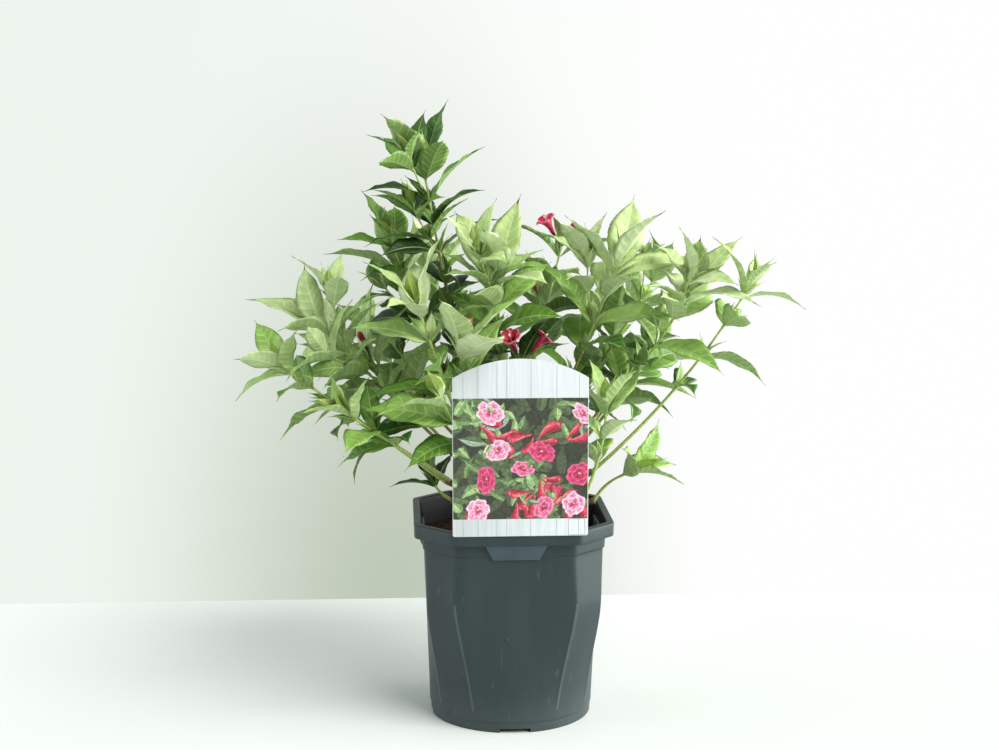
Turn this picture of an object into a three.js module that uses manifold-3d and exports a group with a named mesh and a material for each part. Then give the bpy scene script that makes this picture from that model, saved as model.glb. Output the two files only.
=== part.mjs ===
// A young weigela in its square-shouldered nursery pot, with a picture card clipped over the rim.
// Millimetres, +Z up. The origin is the middle of the pot's underside; the pot's four flat walls face
// +X, -X, +Y and -Y, and the card stands on the -Y side.
import * as THREE from 'three';
import { mergeVertices } from 'three/addons/utils/BufferGeometryUtils.js';
import Module from 'manifold-3d';

const wasm = await Module();
wasm.setup();

// ---------------------------------------------------------------- driving dimensions
const GAP = 0.3;                 // air left between two pieces that touch
const SMALLEST_DETAIL = 0.05;

const POT_HEIGHT = 189;
const POT_HALF_WIDTH = 90;       // collar, across its flats
const COLLAR_DEPTH = 12.5;
const CORNER_ANGLE = 32.2;       // degrees from the middle of a flat to its corner
const FOOT_RADIUS = 74.3;
const WALL = 1.8;
const FOOT_RECESS = 4.5;         // the floor is this far above the ground between foot and middle disc
const MIDDLE_DISC_RADIUS = 42;
const FLAT_STEPS = 6;            // facets across a flat and across a corner
const CORNER_STEPS = 3;

const SOIL_LEVEL = 165;          // where the soil meets the wall
const SOIL_CROWN = 2.5;          // and how much higher it is at the stump
const SOIL_INSET = 1.8;          // the soil has shrunk this far from the wall

const CARD = {
  width: 118.6, middle: 3, foot: 186, shoulder: 326, top: 343, thickness: 0.9, tongue: 34, hook: 7.5,
};

const STUMP = { flare: 17, waist: 11.5, height: 27 };

const BOUGH_RADIUS = 2.7;
const KNUCKLE_RADIUS = 2.6;      // of a bough's end, where its shoots start
const SHOOT_RADIUS = 1.8;        // at a shoot's foot
const SHOOT_TIP_RADIUS = 0.8;
const TWIG_RADIUS = 1;           // at the foot of a shoot's side twig
const TWIG_TIP_RADIUS = 0.6;

const LEAF_THICKNESS = 0.9;
const LEAF_WIDTH = 0.42;         // share of a leaf's length
const LEAF_FOLD = 12;            // degrees that each half of a blade rises from its midrib
const LEAF_ROLL = 32;            // and the most that a blade is rolled about it
const PETIOLE = 3;               // length of a leaf's stalk
const PETIOLE_HALF_WIDTH = 0.8;
const SKY_TURN = 0.42;           // how far a blade turns its face to the light
const SKY_LIFT = 0.2;
// Degrees that a leaf leans off its stem and arches from root to tip: in the youngest pair, in the
// next, and how much more in a leaf that is fully grown.
const LEAN = { young: 20, next: 46, old: 20 };
const ARCH = { young: 32, next: 45, old: 14 };
const OLD_AT = 110;              // leaves this far down a stem are fully grown
const NEXT_STEP = 0.3;           // the youngest two pairs stand close together
const SUNK = 2;                  // the youngest pair stands this far below its stem's end

const FIRST_TWIG = 2;            // pairs of leaves above a shoot's uppermost side twig
const TWIG_LEAN = 25;
const TWIG_REACH = 0.72;         // length of a side twig and of its leaves, as shares of the shoot's
const TWIG_LEAF = 0.8;           // leaves

const FLOWER = { length: 34, lean: 42, mouth: 9.5 };
const BUD = { length: 30, lean: 20, waist: 2.9 };

const SAMPLE = 2.2;              // spacing of the points that stand for a blade or a stem
const AIR_TO_OTHERS = 4.2;       // air kept from those of other masses
const AIR_TO_OWN = 1.4;
const AIR_TO_POT = 5;

// Boughs, each from the stump to the fork where leafy shoots start: [name, fork, outward bow].
const BOUGHS = [
  ['left_low', [-58, -27, 222], 0],
  ['left', [-41, -3, 232], 0],
  ['left_front', [-35, -36, 242], 0],
  ['left_tall', [-24, 16, 240], 0],
  ['centre', [0, 35, 240], 0],
  ['front', [-2, -45, 236], 0],
  ['right_tall', [23, -1, 245], 0],
  ['right', [48, 7, 230], 0],
  ['right_low', [72, -29, 230], 0],
  ['right_front', [62, -52, 209], 0],
  ['back_left', [-27, 62, 229], 0],
  ['back', [9, 75, 231], 0],
  ['back_right', [41, 58, 229], 0],
  ['rim_left', [-54, 8, 197], 0],
  ['rim_right', [76, -14, 200], 0],
];

// Leafy shoots: the end of the stem, how far the stem bows outwards, how much of its foot is bare, the
// length of its leaves, the youngest pair's share of that, the turn of that pair about the stem in
// degrees, the distance between pairs, its side twigs, and its bloom: [open flowers, buds].
const SHOOTS = [
  { name: 'top', bough: 'left_tall', end: [-78, 4, 501], bow: 6, bare: 70,
    leaf: 70, young: 0.92, turn: 25, step: 23, twigs: 3, bloom: [0, 0] },
  { name: 'middle', bough: 'centre', end: [-13, -34, 409], bow: 0, bare: 50,
    leaf: 72, young: 1, turn: 45, step: 25, twigs: 2, bloom: [0, 0] },
  { name: 'right_top', bough: 'right_tall', end: [96, -5, 413], bow: 4, bare: 60,
    leaf: 74, young: 0.95, turn: 90, step: 24, twigs: 2, bloom: [0, 0] },
  { name: 'left_top', bough: 'left', end: [-171, -5, 360], bow: 0, bare: 50,
    leaf: 72, young: 1, turn: 160, step: 24, twigs: 2, bloom: [0, 0] },
  { name: 'right_up', bough: 'right', end: [160, -24, 393], bow: 10, bare: 60,
    leaf: 72, young: 0.9, turn: 50, step: 26, twigs: 2, bloom: [0, 0] },
  { name: 'shoulder', bough: 'left_front', end: [-84, -50, 381], bow: 0, bare: 40,
    leaf: 74, young: 0.9, turn: 0, step: 24, twigs: 0, bloom: [0, 0] },
  { name: 'inner', bough: 'left', end: [-127, 22, 325], bow: 4, bare: 40,
    leaf: 72, young: 1, turn: 45, step: 23, twigs: 1, bloom: [0, 1] },
  { name: 'top_left', bough: 'left_tall', end: [-99, 46, 410], bow: 4, bare: 60,
    leaf: 72, young: 0.85, turn: 90, step: 24, twigs: 2, bloom: [0, 0] },
  { name: 'left_out', bough: 'left_low', end: [-204, -27, 327], bow: 0, bare: 50,
    leaf: 58, young: 0.9, turn: 70, step: 24, twigs: 1, bloom: [0, 0] },
  { name: 'collar_top', bough: 'left_front', end: [-48, -67, 346], bow: 2, bare: 40,
    leaf: 80, young: 1, turn: 35, step: 25, twigs: 0, bloom: [0, 1] },
  { name: 'right_out', bough: 'right_low', end: [210, -40, 398], bow: 18, bare: 100,
    leaf: 62, young: 0.62, turn: 90, step: 32, twigs: 1, bloom: [0, 0] },
  { name: 'collar', bough: 'left_front', end: [-65, -89, 307], bow: 2, bare: 20,
    leaf: 80, young: 0.95, turn: 160, step: 24, twigs: 0, bloom: [0, 0] },
  { name: 'flowering', bough: 'centre', end: [52, 67, 427], bow: 0, bare: 90,
    leaf: 60, young: 0.6, turn: 60, step: 28, twigs: 0, bloom: [1, 6] },
  { name: 'right_front', bough: 'right_front', end: [82, -55, 293], bow: 8, bare: 25,
    leaf: 58, young: 0.9, turn: 135, step: 22, twigs: 1, bloom: [0, 0] },
  { name: 'right_behind', bough: 'right_tall', end: [143, 67, 400], bow: 8, bare: 80,
    leaf: 52, young: 0.8, turn: 0, step: 25, twigs: 2, bloom: [0, 0] },
  { name: 'left_mid', bough: 'left_low', end: [-145, -67, 290], bow: 0, bare: 40,
    leaf: 64, young: 0.9, turn: 60, step: 24, twigs: 1, bloom: [0, 0] },
  { name: 'flowering_low', bough: 'front', end: [7, -35, 332], bow: 0, bare: 40,
    leaf: 56, young: 0.9, turn: 30, step: 24, twigs: 0, bloom: [3, 0] },
  { name: 'right_inner', bough: 'right', end: [123, 33, 327], bow: 8, bare: 50,
    leaf: 66, young: 0.9, turn: 160, step: 25, twigs: 1, bloom: [0, 0] },
  { name: 'rim', bough: 'rim_left', end: [-72, 14, 215], bow: 4, bare: 15,
    leaf: 42, young: 0.8, turn: 115, step: 20, twigs: 0, bloom: [0, 0] },
  { name: 'rim_right', bough: 'rim_right', end: [108, -22, 227], bow: -9, bare: 30,
    leaf: 64, young: 0.9, turn: 160, step: 20, twigs: 0, bloom: [0, 0] },
  { name: 'left_inner', bough: 'left_tall', end: [-116, 52, 349], bow: 4, bare: 50,
    leaf: 70, young: 0.9, turn: 100, step: 24, twigs: 1, bloom: [0, 0] },
  { name: 'back_far_left', bough: 'back_left', end: [-128, 132, 333], bow: 10, bare: 50,
    leaf: 68, young: 0.9, turn: 30, step: 25, twigs: 1, bloom: [0, 0] },
  { name: 'back_left', bough: 'back_left', end: [-67, 139, 394], bow: 6, bare: 60,
    leaf: 68, young: 0.9, turn: 60, step: 25, twigs: 2, bloom: [0, 2] },
  { name: 'back_low', bough: 'back', end: [-20, 171, 330], bow: 10, bare: 55,
    leaf: 64, young: 0.9, turn: 10, step: 25, twigs: 1, bloom: [0, 0] },
  { name: 'back_tall', bough: 'back', end: [37, 133, 369], bow: 6, bare: 60,
    leaf: 66, young: 0.9, turn: 25, step: 25, twigs: 2, bloom: [1, 2] },
  { name: 'back_right', bough: 'back_right', end: [126, 148, 355], bow: 10, bare: 60,
    leaf: 66, young: 0.9, turn: 45, step: 25, twigs: 2, bloom: [0, 0] },
  { name: 'back_far_right', bough: 'back_right', end: [142, 97, 322], bow: 10, bare: 60,
    leaf: 64, young: 0.9, turn: 60, step: 25, twigs: 1, bloom: [0, 0] },
  { name: 'back_inner', bough: 'back_left', end: [-33, 112, 313], bow: 6, bare: 40,
    leaf: 64, young: 0.9, turn: 20, step: 25, twigs: 1, bloom: [0, 0] },
];

const UP = new THREE.Vector3(0, 0, 1);
const rad = THREE.MathUtils.degToRad;
const vec = (x, y, z) => new THREE.Vector3(x, y, z);
const part = new THREE.Group();

// ---------------------------------------------------------------- solids
/** A closed geometry as a solid that can be joined and cut. */
function solid(geometry) {
  const bare = geometry.clone();
  bare.deleteAttribute('normal');
  bare.deleteAttribute('uv');
  const merged = mergeVertices(bare, 1e-4);
  return new wasm.Manifold(new wasm.Mesh({
    numProp: 3,
    vertProperties: new Float32Array(merged.attributes.position.array),
    triVerts: new Uint32Array(merged.index.array),
  }));
}

/** The largest closed body of a solid as a geometry: hollows sealed by joining are filled. */
function geometryOf(body) {
  const whole = body.simplify(SMALLEST_DETAIL).decompose()
    .reduce((a, b) => (b.volume() > a.volume() ? b : a));
  const mesh = whole.getMesh();
  const geometry = new THREE.BufferGeometry();
  geometry.setAttribute('position', new THREE.BufferAttribute(new Float32Array(mesh.vertProperties), 3));
  geometry.setIndex(new THREE.BufferAttribute(new Uint32Array(mesh.triVerts), 1));
  geometry.computeVertexNormals();
  return geometry;
}

/** Moves every vertex of a geometry to the place that a function gives for it. */
function bend(geometry, place) {
  const at = geometry.attributes.position;
  for (let i = 0; i < at.count; i += 1) {
    const p = place(vec(at.getX(i), at.getY(i), at.getZ(i)));
    at.setXYZ(i, p.x, p.y, p.z);
  }
  return geometry;
}

/** Adds a named piece to the part. */
function piece(name, geometry, color, roughness, metalness = 0) {
  const mesh = new THREE.Mesh(geometry, new THREE.MeshStandardMaterial({ color, roughness, metalness }));
  mesh.name = name;
  part.add(mesh);
}

// ---------------------------------------------------------------- pot
// The wall is octagonal at the collar and turns round towards the foot, with the corners of the
// octagon running down it as ridges.
const TURNS_ROUND_BELOW = 118;

/** Half-width of the pot's section in a direction, for a section of a given half-width and height. */
function potReach(halfWidth, angle, height) {
  const quarter = Math.PI / 2;
  const toFlat = Math.abs(angle - Math.round(angle / quarter) * quarter);
  const corner = rad(CORNER_ANGLE);
  const cornerReach = halfWidth / Math.cos(corner);
  const toDiagonal = Math.PI / 4 - toFlat;
  const octagon = toFlat <= corner
    ? halfWidth / Math.cos(toFlat)
    : cornerReach * Math.cos(Math.PI / 4 - corner) / Math.cos(toDiagonal);
  const round = THREE.MathUtils.smoothstep(TURNS_ROUND_BELOW - height, 0, TURNS_ROUND_BELOW);
  return THREE.MathUtils.lerp(octagon, halfWidth, round);
}

/** A lathed profile of [half-width, height] points, taken from round to the pot's own section. */
function potForm(profile) {
  const steps = 4 * (FLAT_STEPS + CORNER_STEPS);
  const lathe = new THREE.LatheGeometry(profile.map(([r, z]) => new THREE.Vector2(r, z)), steps);
  const flat = 2 * rad(CORNER_ANGLE);
  const side = Math.PI / 2;
  return bend(lathe.rotateX(Math.PI / 2), (p) => {
    const step = Math.round((Math.atan2(p.y, p.x) / (2 * Math.PI)) * steps + steps) % steps;
    const quarter = Math.floor(step / (FLAT_STEPS + CORNER_STEPS));
    const within = step % (FLAT_STEPS + CORNER_STEPS);
    const angle = quarter * side - flat / 2 + (within <= FLAT_STEPS
      ? (flat * within) / FLAT_STEPS
      : flat + ((side - flat) * (within - FLAT_STEPS)) / CORNER_STEPS);
    const reach = potReach(Math.hypot(p.x, p.y), angle, p.z);
    return vec(reach * Math.cos(angle), reach * Math.sin(angle), p.z);
  });
}

const COLLAR_FOOT = POT_HEIGHT - COLLAR_DEPTH;
const BAND_FOOT = COLLAR_FOOT - 12;
const RIM_INSIDE = POT_HALF_WIDTH - 6.5;
const FLOOR = FOOT_RECESS + WALL;

/** Half-width of the wall's outside at a height below the collar. */
function wallOutside(height) {
  return THREE.MathUtils.mapLinear(height, 0, BAND_FOOT, FOOT_RADIUS + 0.6, 80.6);
}

const WALL_ROWS = [24, 50, 85, 120, BAND_FOOT - 2];

function makePot() {
  const profile = [
    [0, 0], [MIDDLE_DISC_RADIUS, 0], [MIDDLE_DISC_RADIUS + 1, FOOT_RECESS],
    [FOOT_RADIUS - 4.5, FOOT_RECESS], [FOOT_RADIUS - 3.5, 0], [FOOT_RADIUS - 1, 0],
    [FOOT_RADIUS, 1.2], [FOOT_RADIUS, 9], [wallOutside(10), 10],
    ...WALL_ROWS.slice(0, -1).map((z) => [wallOutside(z), z]),
    [wallOutside(BAND_FOOT), BAND_FOOT], [82, BAND_FOOT + 0.8], [82.8, COLLAR_FOOT],
    [POT_HALF_WIDTH - 0.6, COLLAR_FOOT], [POT_HALF_WIDTH, COLLAR_FOOT + 1],
    [POT_HALF_WIDTH, POT_HEIGHT - 1], [POT_HALF_WIDTH - 1, POT_HEIGHT],
    [RIM_INSIDE + 1, POT_HEIGHT], [RIM_INSIDE, POT_HEIGHT - 1], [RIM_INSIDE - 2, COLLAR_FOOT],
    ...WALL_ROWS.toReversed().map((z) => [wallOutside(z) - WALL, z]),
    [FOOT_RADIUS - WALL - 2, FLOOR], [0, FLOOR],
  ];
  let pot = solid(potForm(profile));
  const gusset = new THREE.Shape([[-27, 0], [27, 0], [20, -13], [-20, -13]]
    .map(([x, y]) => new THREE.Vector2(x, y)));
  for (let wall = 0; wall < 4; wall += 1) {
    const turn = (wall * Math.PI) / 2;
    const tab = new THREE.ExtrudeGeometry(gusset, { depth: 7, bevelEnabled: false });
    tab.rotateX(Math.PI / 2).translate(0, -79.5, COLLAR_FOOT + 0.5).rotateZ(turn);
    const drain = new THREE.BoxGeometry(27, 16, 8).translate(0, -FOOT_RADIUS, 0).rotateZ(turn);
    pot = pot.add(solid(tab)).subtract(solid(drain));
  }
  piece('pot', geometryOf(pot), 0x46504f, 0.5);
}
makePot();

// ---------------------------------------------------------------- soil
function makeSoil() {
  const inside = (z) => wallOutside(z) - WALL - SOIL_INSET;
  piece('soil', geometryOf(solid(potForm([
    [0, FLOOR + GAP], [FOOT_RADIUS - WALL - 2 - SOIL_INSET, FLOOR + GAP],
    ...WALL_ROWS.map((z) => [inside(z), z]), [inside(BAND_FOOT - 2), SOIL_LEVEL],
    [45, SOIL_LEVEL + 0.6 * SOIL_CROWN], [STUMP.flare + 3, SOIL_LEVEL + SOIL_CROWN],
    [0, SOIL_LEVEL + SOIL_CROWN],
  ]))), 0x2c1a14, 0.95);
}
makeSoil();

// ---------------------------------------------------------------- picture card
// A thin plastic card with an arched top. It stands in front of the collar, and a tongue welded to
// its back hooks over the rim and down inside the pot.
function makeCard() {
  const half = CARD.width / 2;
  const front = -(POT_HALF_WIDTH + GAP);
  const outline = new THREE.Shape();
  outline.moveTo(-half, CARD.foot);
  outline.lineTo(half, CARD.foot);
  outline.lineTo(half, CARD.shoulder);
  const rise = CARD.top - CARD.shoulder;
  const radius = (half ** 2 + rise ** 2) / (2 * rise);
  const spread = Math.asin(half / radius);
  outline.absarc(0, CARD.top - radius, radius, Math.PI / 2 - spread, Math.PI / 2 + spread);
  outline.closePath();
  const card = new THREE.ExtrudeGeometry(outline,
    { depth: CARD.thickness, bevelEnabled: false, curveSegments: 16 });
  card.rotateX(Math.PI / 2).translate(CARD.middle, front, 0);
  const reach = POT_HALF_WIDTH - RIM_INSIDE + CARD.hook;
  const bridge = new THREE.BoxGeometry(CARD.tongue, reach, CARD.thickness)
    .translate(CARD.middle, front + (reach - CARD.thickness) / 2, POT_HEIGHT + GAP + CARD.thickness / 2);
  const drop = POT_HEIGHT - SOIL_LEVEL - 4;
  const tongue = new THREE.BoxGeometry(CARD.tongue, CARD.thickness, drop)
    .translate(CARD.middle, front + reach - CARD.thickness, POT_HEIGHT + GAP + CARD.thickness - drop / 2);
  piece('picture_card', geometryOf(solid(card).add(solid(bridge)).add(solid(tongue))), 0xe9eef0, 0.35);
}
makeCard();

// ---------------------------------------------------------------- how the plant grows
/** A seeded run of numbers, so that the same plant grows every time. */
class Seed {
  constructor(start) {
    this.state = start;
  }

  next() {
    this.state = (this.state * 1664525 + 1013904223) % 4294967296;
    return this.state / 4294967296;
  }

  spread(half) {
    return (2 * this.next() - 1) * half;
  }
}

/** The centre line of a stem that bows outwards by a distance and sways sideways by another. */
class Line {
  constructor(foot, tip, bow, sway) {
    const along = tip.clone().sub(foot).normalize();
    const rise = UP.clone().addScaledVector(along, -along.z).normalize();
    const side = along.clone().cross(rise);
    const middle = foot.clone().add(tip).multiplyScalar(0.5)
      .addScaledVector(rise, -bow).addScaledVector(side, sway);
    this.points = new THREE.QuadraticBezierCurve3(foot, middle, tip).getPoints(24);
    this.run = [0];
    for (let i = 1; i < this.points.length; i += 1) {
      this.run.push(this.run[i - 1] + this.points[i].distanceTo(this.points[i - 1]));
    }
    this.length = this.run.at(-1);
  }

  /** The point at a distance from the foot, and the stem's direction there. */
  at(distance) {
    const far = THREE.MathUtils.clamp(distance, 0, this.length);
    let i = this.points.length - 2;
    while (i > 0 && this.run[i] > far) i -= 1;
    const along = this.points[i + 1].clone().sub(this.points[i]).normalize();
    return { point: this.points[i].clone().addScaledVector(along, far - this.run[i]), along };
  }

  /** Points along the line, from just off its foot to its tip. */
  samples() {
    const steps = Math.ceil(this.length / SAMPLE);
    return Array.from({ length: steps }, (_, i) => this.at(((i + 1) / steps) * this.length).point);
  }
}

/** Remembers what already grows where, so that no leaf of one mass meets another mass. */
class Space {
  constructor() {
    this.cells = new Map();
  }

  static CELL = 5;

  key(p, i = 0, j = 0, k = 0) {
    const cell = Space.CELL;
    return `${Math.floor(p.x / cell) + i},${Math.floor(p.y / cell) + j},${Math.floor(p.z / cell) + k}`;
  }

  add(points, owner) {
    for (const p of points) {
      const key = this.key(p);
      if (!this.cells.has(key)) this.cells.set(key, []);
      this.cells.get(key).push({ p, owner });
    }
  }

  /** Whether a point lies too near something else: further off for others than for its own mass. */
  taken(p, owner, own, others) {
    for (let i = -1; i <= 1; i += 1) {
      for (let j = -1; j <= 1; j += 1) {
        for (let k = -1; k <= 1; k += 1) {
          for (const other of this.cells.get(this.key(p, i, j, k)) ?? []) {
            if (other.p.distanceTo(p) < (other.owner === owner ? own : others)) return true;
          }
        }
      }
    }
    return false;
  }
}
const space = new Space();

// ---------------------------------------------------------------- leaf
/** The direction square to a stem that an angle about it gives. */
function sideways(node, around) {
  const reference = node.along.clone().cross(vec(0, 1, 0)).normalize();
  const second = node.along.clone().cross(reference);
  return reference.multiplyScalar(Math.cos(around)).addScaledVector(second, Math.sin(around));
}

/** A leaf on a stem: it leans off the stem by one angle, on the side that another angle gives. */
function makeLeaf(node, around, lean, size) {
  const out = sideways(node, around);
  const along = node.along.clone().multiplyScalar(Math.cos(lean)).addScaledVector(out, Math.sin(lean));
  const face = node.along.clone().multiplyScalar(Math.sin(lean)).addScaledVector(out, -Math.cos(lean));
  along.addScaledVector(UP, SKY_LIFT).normalize();
  face.addScaledVector(along, -face.dot(along)).normalize();
  const sky = UP.clone().addScaledVector(along, -along.z);
  face.multiplyScalar(1 - SKY_TURN).addScaledVector(sky, SKY_TURN);
  face.addScaledVector(along, -face.dot(along)).normalize();
  const side = face.clone().cross(along);
  const level = face.clone();
  face.multiplyScalar(Math.cos(size.roll)).addScaledVector(side, Math.sin(size.roll));
  side.multiplyScalar(Math.cos(size.roll)).addScaledVector(level, -Math.sin(size.roll));
  return { root: node.point, along, face, side, ...size };
}

/** Half the width of a blade along its length: widest before the middle, drawn out at the tip. */
function outline(u) {
  return u <= 0 || u >= 1 ? 0 : Math.sin(Math.PI * u ** 0.8) ** (0.9 + 1.1 * u * u);
}

/** A point of a blade: u runs from base to tip, across from edge to edge, and above off its face. */
function bladePoint(leaf, u, across, above = 0) {
  const turn = leaf.arch * u;
  const radius = leaf.length / leaf.arch;
  const half = Math.max(PETIOLE_HALF_WIDTH * (1 - u), (leaf.width / 2) * outline(u));
  const face = leaf.face.clone().multiplyScalar(Math.cos(turn)).addScaledVector(leaf.along, Math.sin(turn));
  return leaf.root.clone()
    .addScaledVector(leaf.along, PETIOLE + radius * Math.sin(turn))
    .addScaledVector(leaf.face, -radius * (1 - Math.cos(turn)))
    .addScaledVector(leaf.side, across * half * Math.cos(rad(LEAF_FOLD)))
    .addScaledVector(face, Math.abs(across) * half * Math.sin(rad(LEAF_FOLD)) + above);
}

/** Points spread over a blade, closer together than the air kept round it. */
function bladeSamples(leaf, from) {
  const points = [];
  const rows = Math.ceil(leaf.length / SAMPLE);
  for (let row = Math.ceil(from * rows); row <= rows; row += 1) {
    const u = row / rows;
    const columns = Math.ceil((leaf.width / 2) * outline(u) / SAMPLE);
    for (let column = -columns; column <= columns; column += 1) {
      points.push(bladePoint(leaf, u, columns ? column / columns : 0));
    }
  }
  return points;
}

/** The leaf as a solid blade, level above and keeled along its midrib, its root sunk in the stem. */
function leafSolid(leaf) {
  const rings = [0, 0.34, 0.67];
  const blade = new THREE.SphereGeometry(1, 3, rings.length + 1);
  return solid(bend(blade, (p) => {
    const ring = Math.round((Math.acos(THREE.MathUtils.clamp(p.y, -1, 1)) / Math.PI) * (rings.length + 1));
    if (ring === 0) return leaf.root.clone();
    if (ring > rings.length) return bladePoint(leaf, 1, 0);
    const onKeel = p.x < 0;
    const above = (onKeel ? -LEAF_THICKNESS : LEAF_THICKNESS) / 2;
    return bladePoint(leaf, rings[ring - 1], onKeel ? 0 : -Math.sign(p.z), above);
  }));
}

// ---------------------------------------------------------------- stems, buds and flowers
/** A limb of round section along a line, tapering from one radius to another. */
function limbSolid(line, footRadius, tipRadius, sides, steps) {
  const tube = new THREE.CylinderGeometry(1, 1, 1, sides, steps);
  return solid(bend(tube, (p) => {
    const t = p.y + 0.5;
    const { point, along } = line.at(t * line.length);
    const radius = THREE.MathUtils.lerp(footRadius, tipRadius, t);
    const second = along.clone().cross(vec(0, 1, 0)).normalize();
    const first = along.clone().cross(second);
    return point.addScaledVector(second, radius * p.z).addScaledVector(first, radius * p.x);
  }));
}

/** A closed flower bud: a slender club on a thread of a stalk. */
function budSolid(root, along, length) {
  const club = new THREE.SphereGeometry(1, 5, 4);
  const radii = [0, 0.9, 2.2, BUD.waist, 0];
  const turn = new THREE.Quaternion().setFromUnitVectors(vec(0, -1, 0), along);
  return solid(bend(club, (p) => {
    const ring = Math.round((Math.acos(THREE.MathUtils.clamp(p.y, -1, 1)) / Math.PI) * 4);
    const round = Math.max(Math.sin((ring * Math.PI) / 4), 1e-6);
    return vec((p.x / round) * radii[ring], -length * (ring / 4), (p.z / round) * radii[ring])
      .applyQuaternion(turn).add(root);
  }));
}

/** An open flower: a narrow funnel that opens into five lobes. */
function flowerSolid(root, along, length) {
  const profile = [[0, 0], [1.1, 2], [2.4, 0.45 * length], [FLOWER.mouth, length], [5.5, 0.93 * length],
    [0, 0.72 * length]].map(([r, y]) => new THREE.Vector2(r, y));
  const funnel = new THREE.LatheGeometry(profile, 10);
  const turn = new THREE.Quaternion().setFromUnitVectors(vec(0, 1, 0), along);
  return solid(bend(funnel, (p) => {
    const lobe = Math.cos(5 * Math.atan2(p.z, p.x));
    const open = p.y > 0.8 * length ? 1 + 0.22 * lobe : 1;
    return vec(p.x * open, p.y, p.z * open).applyQuaternion(turn).add(root);
  }));
}

// ---------------------------------------------------------------- stump and boughs
const STUMP_FOOT = SOIL_LEVEL + SOIL_CROWN + GAP;

function stumpForm(grow) {
  const { flare, waist, height } = STUMP;
  return new THREE.LatheGeometry([
    [0, -grow], [flare + grow, -grow], [flare + grow, 1.5], [waist + 1.5 + grow, 7],
    [waist + grow, 15], [waist - 1 + grow, height - 5], [0.6 * waist + grow, height + 0.6 * grow],
    [0, height + 1 + grow],
  ].map(([r, z]) => new THREE.Vector2(r, z)), 14).rotateX(Math.PI / 2).translate(0, 0, STUMP_FOOT);
}
piece('stump', geometryOf(solid(stumpForm(0))), 0x5a4632, 0.85);

// The lower a bough forks, the lower it leaves the stump.
const LOWEST_FORK = Math.min(...BOUGHS.map(([, fork]) => fork[2]));
const HIGHEST_FORK = Math.max(...BOUGHS.map(([, fork]) => fork[2]));
const boughLines = new Map();
for (const [name, fork, bow] of BOUGHS) {
  const tip = vec(...fork);
  const height = THREE.MathUtils.mapLinear(tip.z, LOWEST_FORK, HIGHEST_FORK, 7, STUMP.height - 4);
  const foot = vec(tip.x, tip.y, 0).normalize().multiplyScalar(0.6 * STUMP.waist)
    .setZ(STUMP_FOOT + height);
  boughLines.set(name, new Line(foot, tip, bow, 0));
}

const FOOT_APART = 1.35 * SHOOT_RADIUS;

/** Where on its bough's end a shoot starts: the shoots of one bough are spread evenly about it. */
function shootFoot(shoot, fork) {
  const siblings = SHOOTS.filter((other) => other.bough === shoot.bough);
  if (siblings.length === 1) return fork.point.clone();
  const first = fork.along.clone().cross(vec(0, 1, 0)).normalize();
  const second = fork.along.clone().cross(first);
  const angleOf = (other) => {
    const apart = vec(...other.end).sub(fork.point);
    apart.addScaledVector(fork.along, -apart.dot(fork.along)).normalize();
    return Math.atan2(apart.dot(second), apart.dot(first));
  };
  const order = siblings.map(angleOf).sort((a, b) => a - b);
  const place = order.indexOf(angleOf(shoot));
  const share = (2 * Math.PI) / siblings.length;
  const start = order.reduce((sum, angle, i) => sum + angle - i * share, 0) / siblings.length;
  const angle = start + place * share;
  return fork.point.clone().addScaledVector(first, FOOT_APART * Math.cos(angle))
    .addScaledVector(second, FOOT_APART * Math.sin(angle));
}

const shoots = SHOOTS.map((shoot, index) => {
  const bough = boughLines.get(shoot.bough);
  const fork = bough.at(bough.length);
  const seed = new Seed((index + 1) * 7919);
  for (let skip = 0; skip < 3; skip += 1) seed.next();
  const line = new Line(shootFoot(shoot, fork), vec(...shoot.end), shoot.bow, seed.spread(5));
  return { ...shoot, seed, fork, line };
});

for (const [name, line] of boughLines) space.add(line.samples(), `bough_${name}`);
for (const shoot of shoots) {
  space.add(shoot.line.samples(), shoot.name);
}

// Where two boughs press together at the stump, the later one has grown round the earlier.
let standing = solid(stumpForm(GAP));
for (const [name, line] of boughLines) {
  const limb = limbSolid(line, BOUGH_RADIUS, KNUCKLE_RADIUS, 6, 4).subtract(standing);
  piece(`bough_${name}`, geometryOf(limb), 0x6b4a34, 0.8);
  standing = standing.add(limbSolid(line, BOUGH_RADIUS + GAP, KNUCKLE_RADIUS + GAP, 6, 4));
}

// ---------------------------------------------------------------- leafy shoots
// Leaves stand in pairs, each pair a quarter turn from the next. A blade that would come too near
// another mass is swung, raised or grown smaller, and left out where none of these places is free.
// Lower down a shoot also bears side twigs, which grow by the same rule.
const SWINGS = [[0, 0], [14, 0], [-14, 0], [0, -12], [28, 0], [-28, 0], [0, 14], [20, -12], [-20, -12],
  [42, 0], [-42, 0], [30, 16], [-30, 16]];
const SMALLER = 0.74;

/** Whether a point is clear of the card, the pot and the soil. */
function isOpen(p) {
  const air = AIR_TO_POT;
  const nearCard = Math.abs(p.x - CARD.middle) < CARD.width / 2 + air && p.z < CARD.top + air
    && Math.abs(p.y + POT_HALF_WIDTH) < CARD.thickness + air;
  const overPot = Math.max(Math.abs(p.x), Math.abs(p.y)) < POT_HALF_WIDTH + air;
  return !nearCard && !(overPot && p.z < POT_HEIGHT + air);
}

function growLeaf(node, around, lean, size, owner) {
  for (const share of [1, SMALLER]) {
    for (const [swing, raise] of SWINGS) {
      const leaf = makeLeaf(node, around + rad(swing), lean + rad(raise),
        { ...size, length: share * size.length, width: share * size.width });
      const free = bladeSamples(leaf, 0).every((p) => isOpen(p) && !space.taken(p, owner, 0, AIR_TO_OTHERS))
        && bladeSamples(leaf, 0.3).every((p) => !space.taken(p, owner, AIR_TO_OWN, 0));
      if (free) {
        space.add(bladeSamples(leaf, 0), owner);
        return leaf;
      }
    }
  }
  return null;
}

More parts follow.
